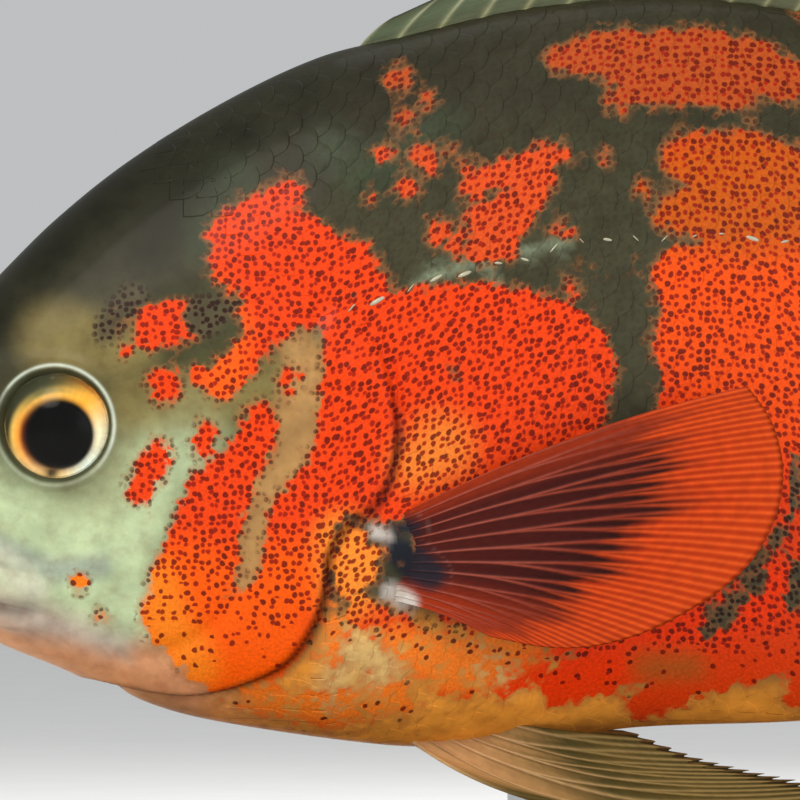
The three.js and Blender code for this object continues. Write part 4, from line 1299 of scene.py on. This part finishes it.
def brushed_steel():
    """Stainless rod, brushed round its length: fine rings that spread the highlight along it."""
    made, tree = material("brushed_stainless_steel")
    place = add(tree, "TexCoord").outputs["Object"]
    length, gap = BRUSH_LINE
    rings = add(tree, "Mapping", (), {"Vector": place, "Scale": per_size(length, length, gap)})
    lines = add(tree, "TexNoise", (), {"Vector": rings, "Scale": 1, "Detail": 2})
    rough = add(tree, "MapRange", (), {"Value": lines, "To Min": 0.2, "To Max": 0.4})
    surface(tree, linear("#c4c6c8"), rough, lines, 0.15, 0.05, {"Metallic": 1.0})
    return made


def painted_backdrop():
    """Matt emulsion on a smooth board, pale grey, so that it takes soft shadows and no shine."""
    made, tree = material("matt_pale_emulsion")
    place = add(tree, "TexCoord").outputs["Object"]
    cloud = add(tree, "TexNoise", (), {"Vector": place, "Scale": 1 / (BOARD_CLOUD * MM), "Detail": 3})
    colour = add(tree, "ValToRGB", {"stops": [(0, "#ecedeb"), (1, "#f3f3f1")]}, {"Fac": cloud})
    surface(tree, colour, 0.85)
    return made


# Studio

# The camera's distance and its sensor, in mm
CAMERA_DISTANCE = 1500
SENSOR_WIDTH = 36

# How far the camera sees and the floor reaches, in metres
CAMERA_SIGHT = 20
FLOOR_RADIUS = 12

SKY_STRENGTH = 0.65

# Each lamp is a disc that faces the fish: (name, place and width in metres, power in watts, colour).
LAMPS = [
    ("key", (-0.45, -0.75, 0.85), 0.55, 8.5, "#fff6ea"),
    ("fill", (0.6, -0.9, 0.3), 0.9, 3.5, "#f6f6ff"),
    ("top", (0.0, 0.25, 1.0), 0.6, 2.5, "#ffffff"),
    ("back", (0.4, 0.6, 0.4), 0.5, 3, "#ffffff"),
]


def studio():
    """A wide pale floor under a pale sky, and soft lights."""
    bm = bmesh.new()
    bmesh.ops.create_circle(bm, cap_ends=True, segments=96, radius=FLOOR_RADIUS)
    floor = linked("studio_floor", mesh_from("studio_floor", bm))
    floor.data.materials.append(painted_backdrop())
    floor.data.shade_smooth()

    for name, place, width, power, colour in LAMPS:
        light = bpy.data.lights.new(name, "AREA")
        light.shape = "DISK"
        light.size = width
        light.energy = power
        light.color = linear(colour)[:3]
        lamp = linked(name, light)
        lamp.location = place
        to_fish = Vector((0, 0, AXIS_HEIGHT * MM)) - Vector(place)
        lamp.rotation_euler = to_fish.to_track_quat("-Z", "Y").to_euler()

    bpy.context.scene.view_settings.view_transform = "Standard"
    sky = bpy.data.worlds.new("studio")
    sky.use_nodes = True
    background = sky.node_tree.nodes["Background"].inputs
    background["Color"].default_value = linear("#e6e8ea")
    background["Strength"].default_value = SKY_STRENGTH
    bpy.context.scene.world = sky


def camera():
    """Level with the fish's axis, square on to its left side, and framed as the photograph is."""
    eye = bpy.data.cameras.new("camera")
    eye.sensor_width = SENSOR_WIDTH
    eye.lens = SENSOR_WIDTH * CAMERA_DISTANCE / (PHOTO_PIXELS * PIXEL)
    eye.clip_end = CAMERA_SIGHT
    obj = linked("camera", eye)
    middle = (PHOTO_PIXELS / 2 + SNOUT_PIXELS) * PIXEL
    obj.location = world((middle, -CAMERA_DISTANCE, 0))
    obj.rotation_euler = (math.pi / 2, 0, 0)
    bpy.context.scene.camera = obj


# The fish and its stand

FLESH = ("head", "lower_jaw", "gill_cover_left", "gill_cover_right", "torso", "tail_stalk")
skin_paint = fish_skin_paint("airbrushed_resin_skin", 0.25)
piece(skin(), skin_paint, "skin_flank", *FLESH)
scale_paint = fish_skin_paint("airbrushed_resin_scales", 0.35)
spots = scale_places()
pearl = pore_tube_paint()
for flank in (-1, 1):
    piece(scales(flank, spots), scale_paint, "skin_flank")
    piece(lateral_tubes(flank), pearl, "skin_flank")

olive_fin = fin_membrane(
    "tinted_cast_resin_olive",
    [(0.0, "#4a4f36"), (0.35, "#566348"), (0.7, "#4a5238"), (1.1, "#23241a")],
    [(0.0, "#7d7d5c"), (0.5, "#9da083"), (1.0, "#5b5334")], 0.84,
)
rear_fin = fin_membrane(
    "tinted_cast_resin_black",
    [(0.1, "#1e1a10"), (0.5, "#332f20"), (1.0, "#5a3519")], [(0.1, "#3a3323"), (0.9, "#7d5a34")], 0.9,
)
wine_fin = fin_membrane(
    "tinted_cast_resin_wine",
    [(0.08, "#461611"), (0.4, "#38100d"), (0.55, "#290c08"), (0.67, "#9c2a0a"), (1.0, "#b0360c")],
    [(0.08, "#944a3c"), (0.5, "#7a2c1a"), (0.67, "#cc4814"), (1.0, "#d2521a")], 0.94,
)
cream_fin = fin_membrane(
    "tinted_cast_resin_cream",
    [(0.0, "#d09a66"), (0.3, "#9c7848"), (0.5, "#4c421e"), (0.7, "#5e4b22"), (0.95, "#4a3d1a")],
    [(0.0, "#dcae80"), (0.6, "#8c7444")], 0.92,
)
for mesh, look, slot, node in [
    (dorsal_fin(), olive_fin, "fin_pale", "dorsal_fin"),
    (anal_fin(), rear_fin, "fin_pale", "anal_fin"),
    (tail_fin(), rear_fin, "fin_pale", "tail_fin"),
    (pectoral_fin(-1, 13), wine_fin, "fin_wine", "pectoral_fin_left"),
    (pectoral_fin(1, 20), wine_fin, "fin_wine", "pectoral_fin_right"),
    (pelvic_fin(-1, 1), cream_fin, "fin_pale", "pelvic_fin_left"),
    (pelvic_fin(1, 1.15), cream_fin, "fin_pale", "pelvic_fin_right"),
]:
    piece(mesh, look, slot, node)

painted_eye, clear = eye_paint(), clear_cornea()
for flank in (-1, 1):
    piece(eyeball(flank), painted_eye, "eye", sided("eye", flank))
    piece(cornea(flank), clear, "eye")
    piece(eye_ring(flank), skin_paint, "skin_flank")

steel = brushed_steel()
for node, look in [("stand_base", stained_hardwood()), ("stand_rod", steel), ("stand_collar", steel)]:
    frame["nodes"][node].data.materials.clear()
    frame["nodes"][node].data.materials.append(look)

studio()
camera()
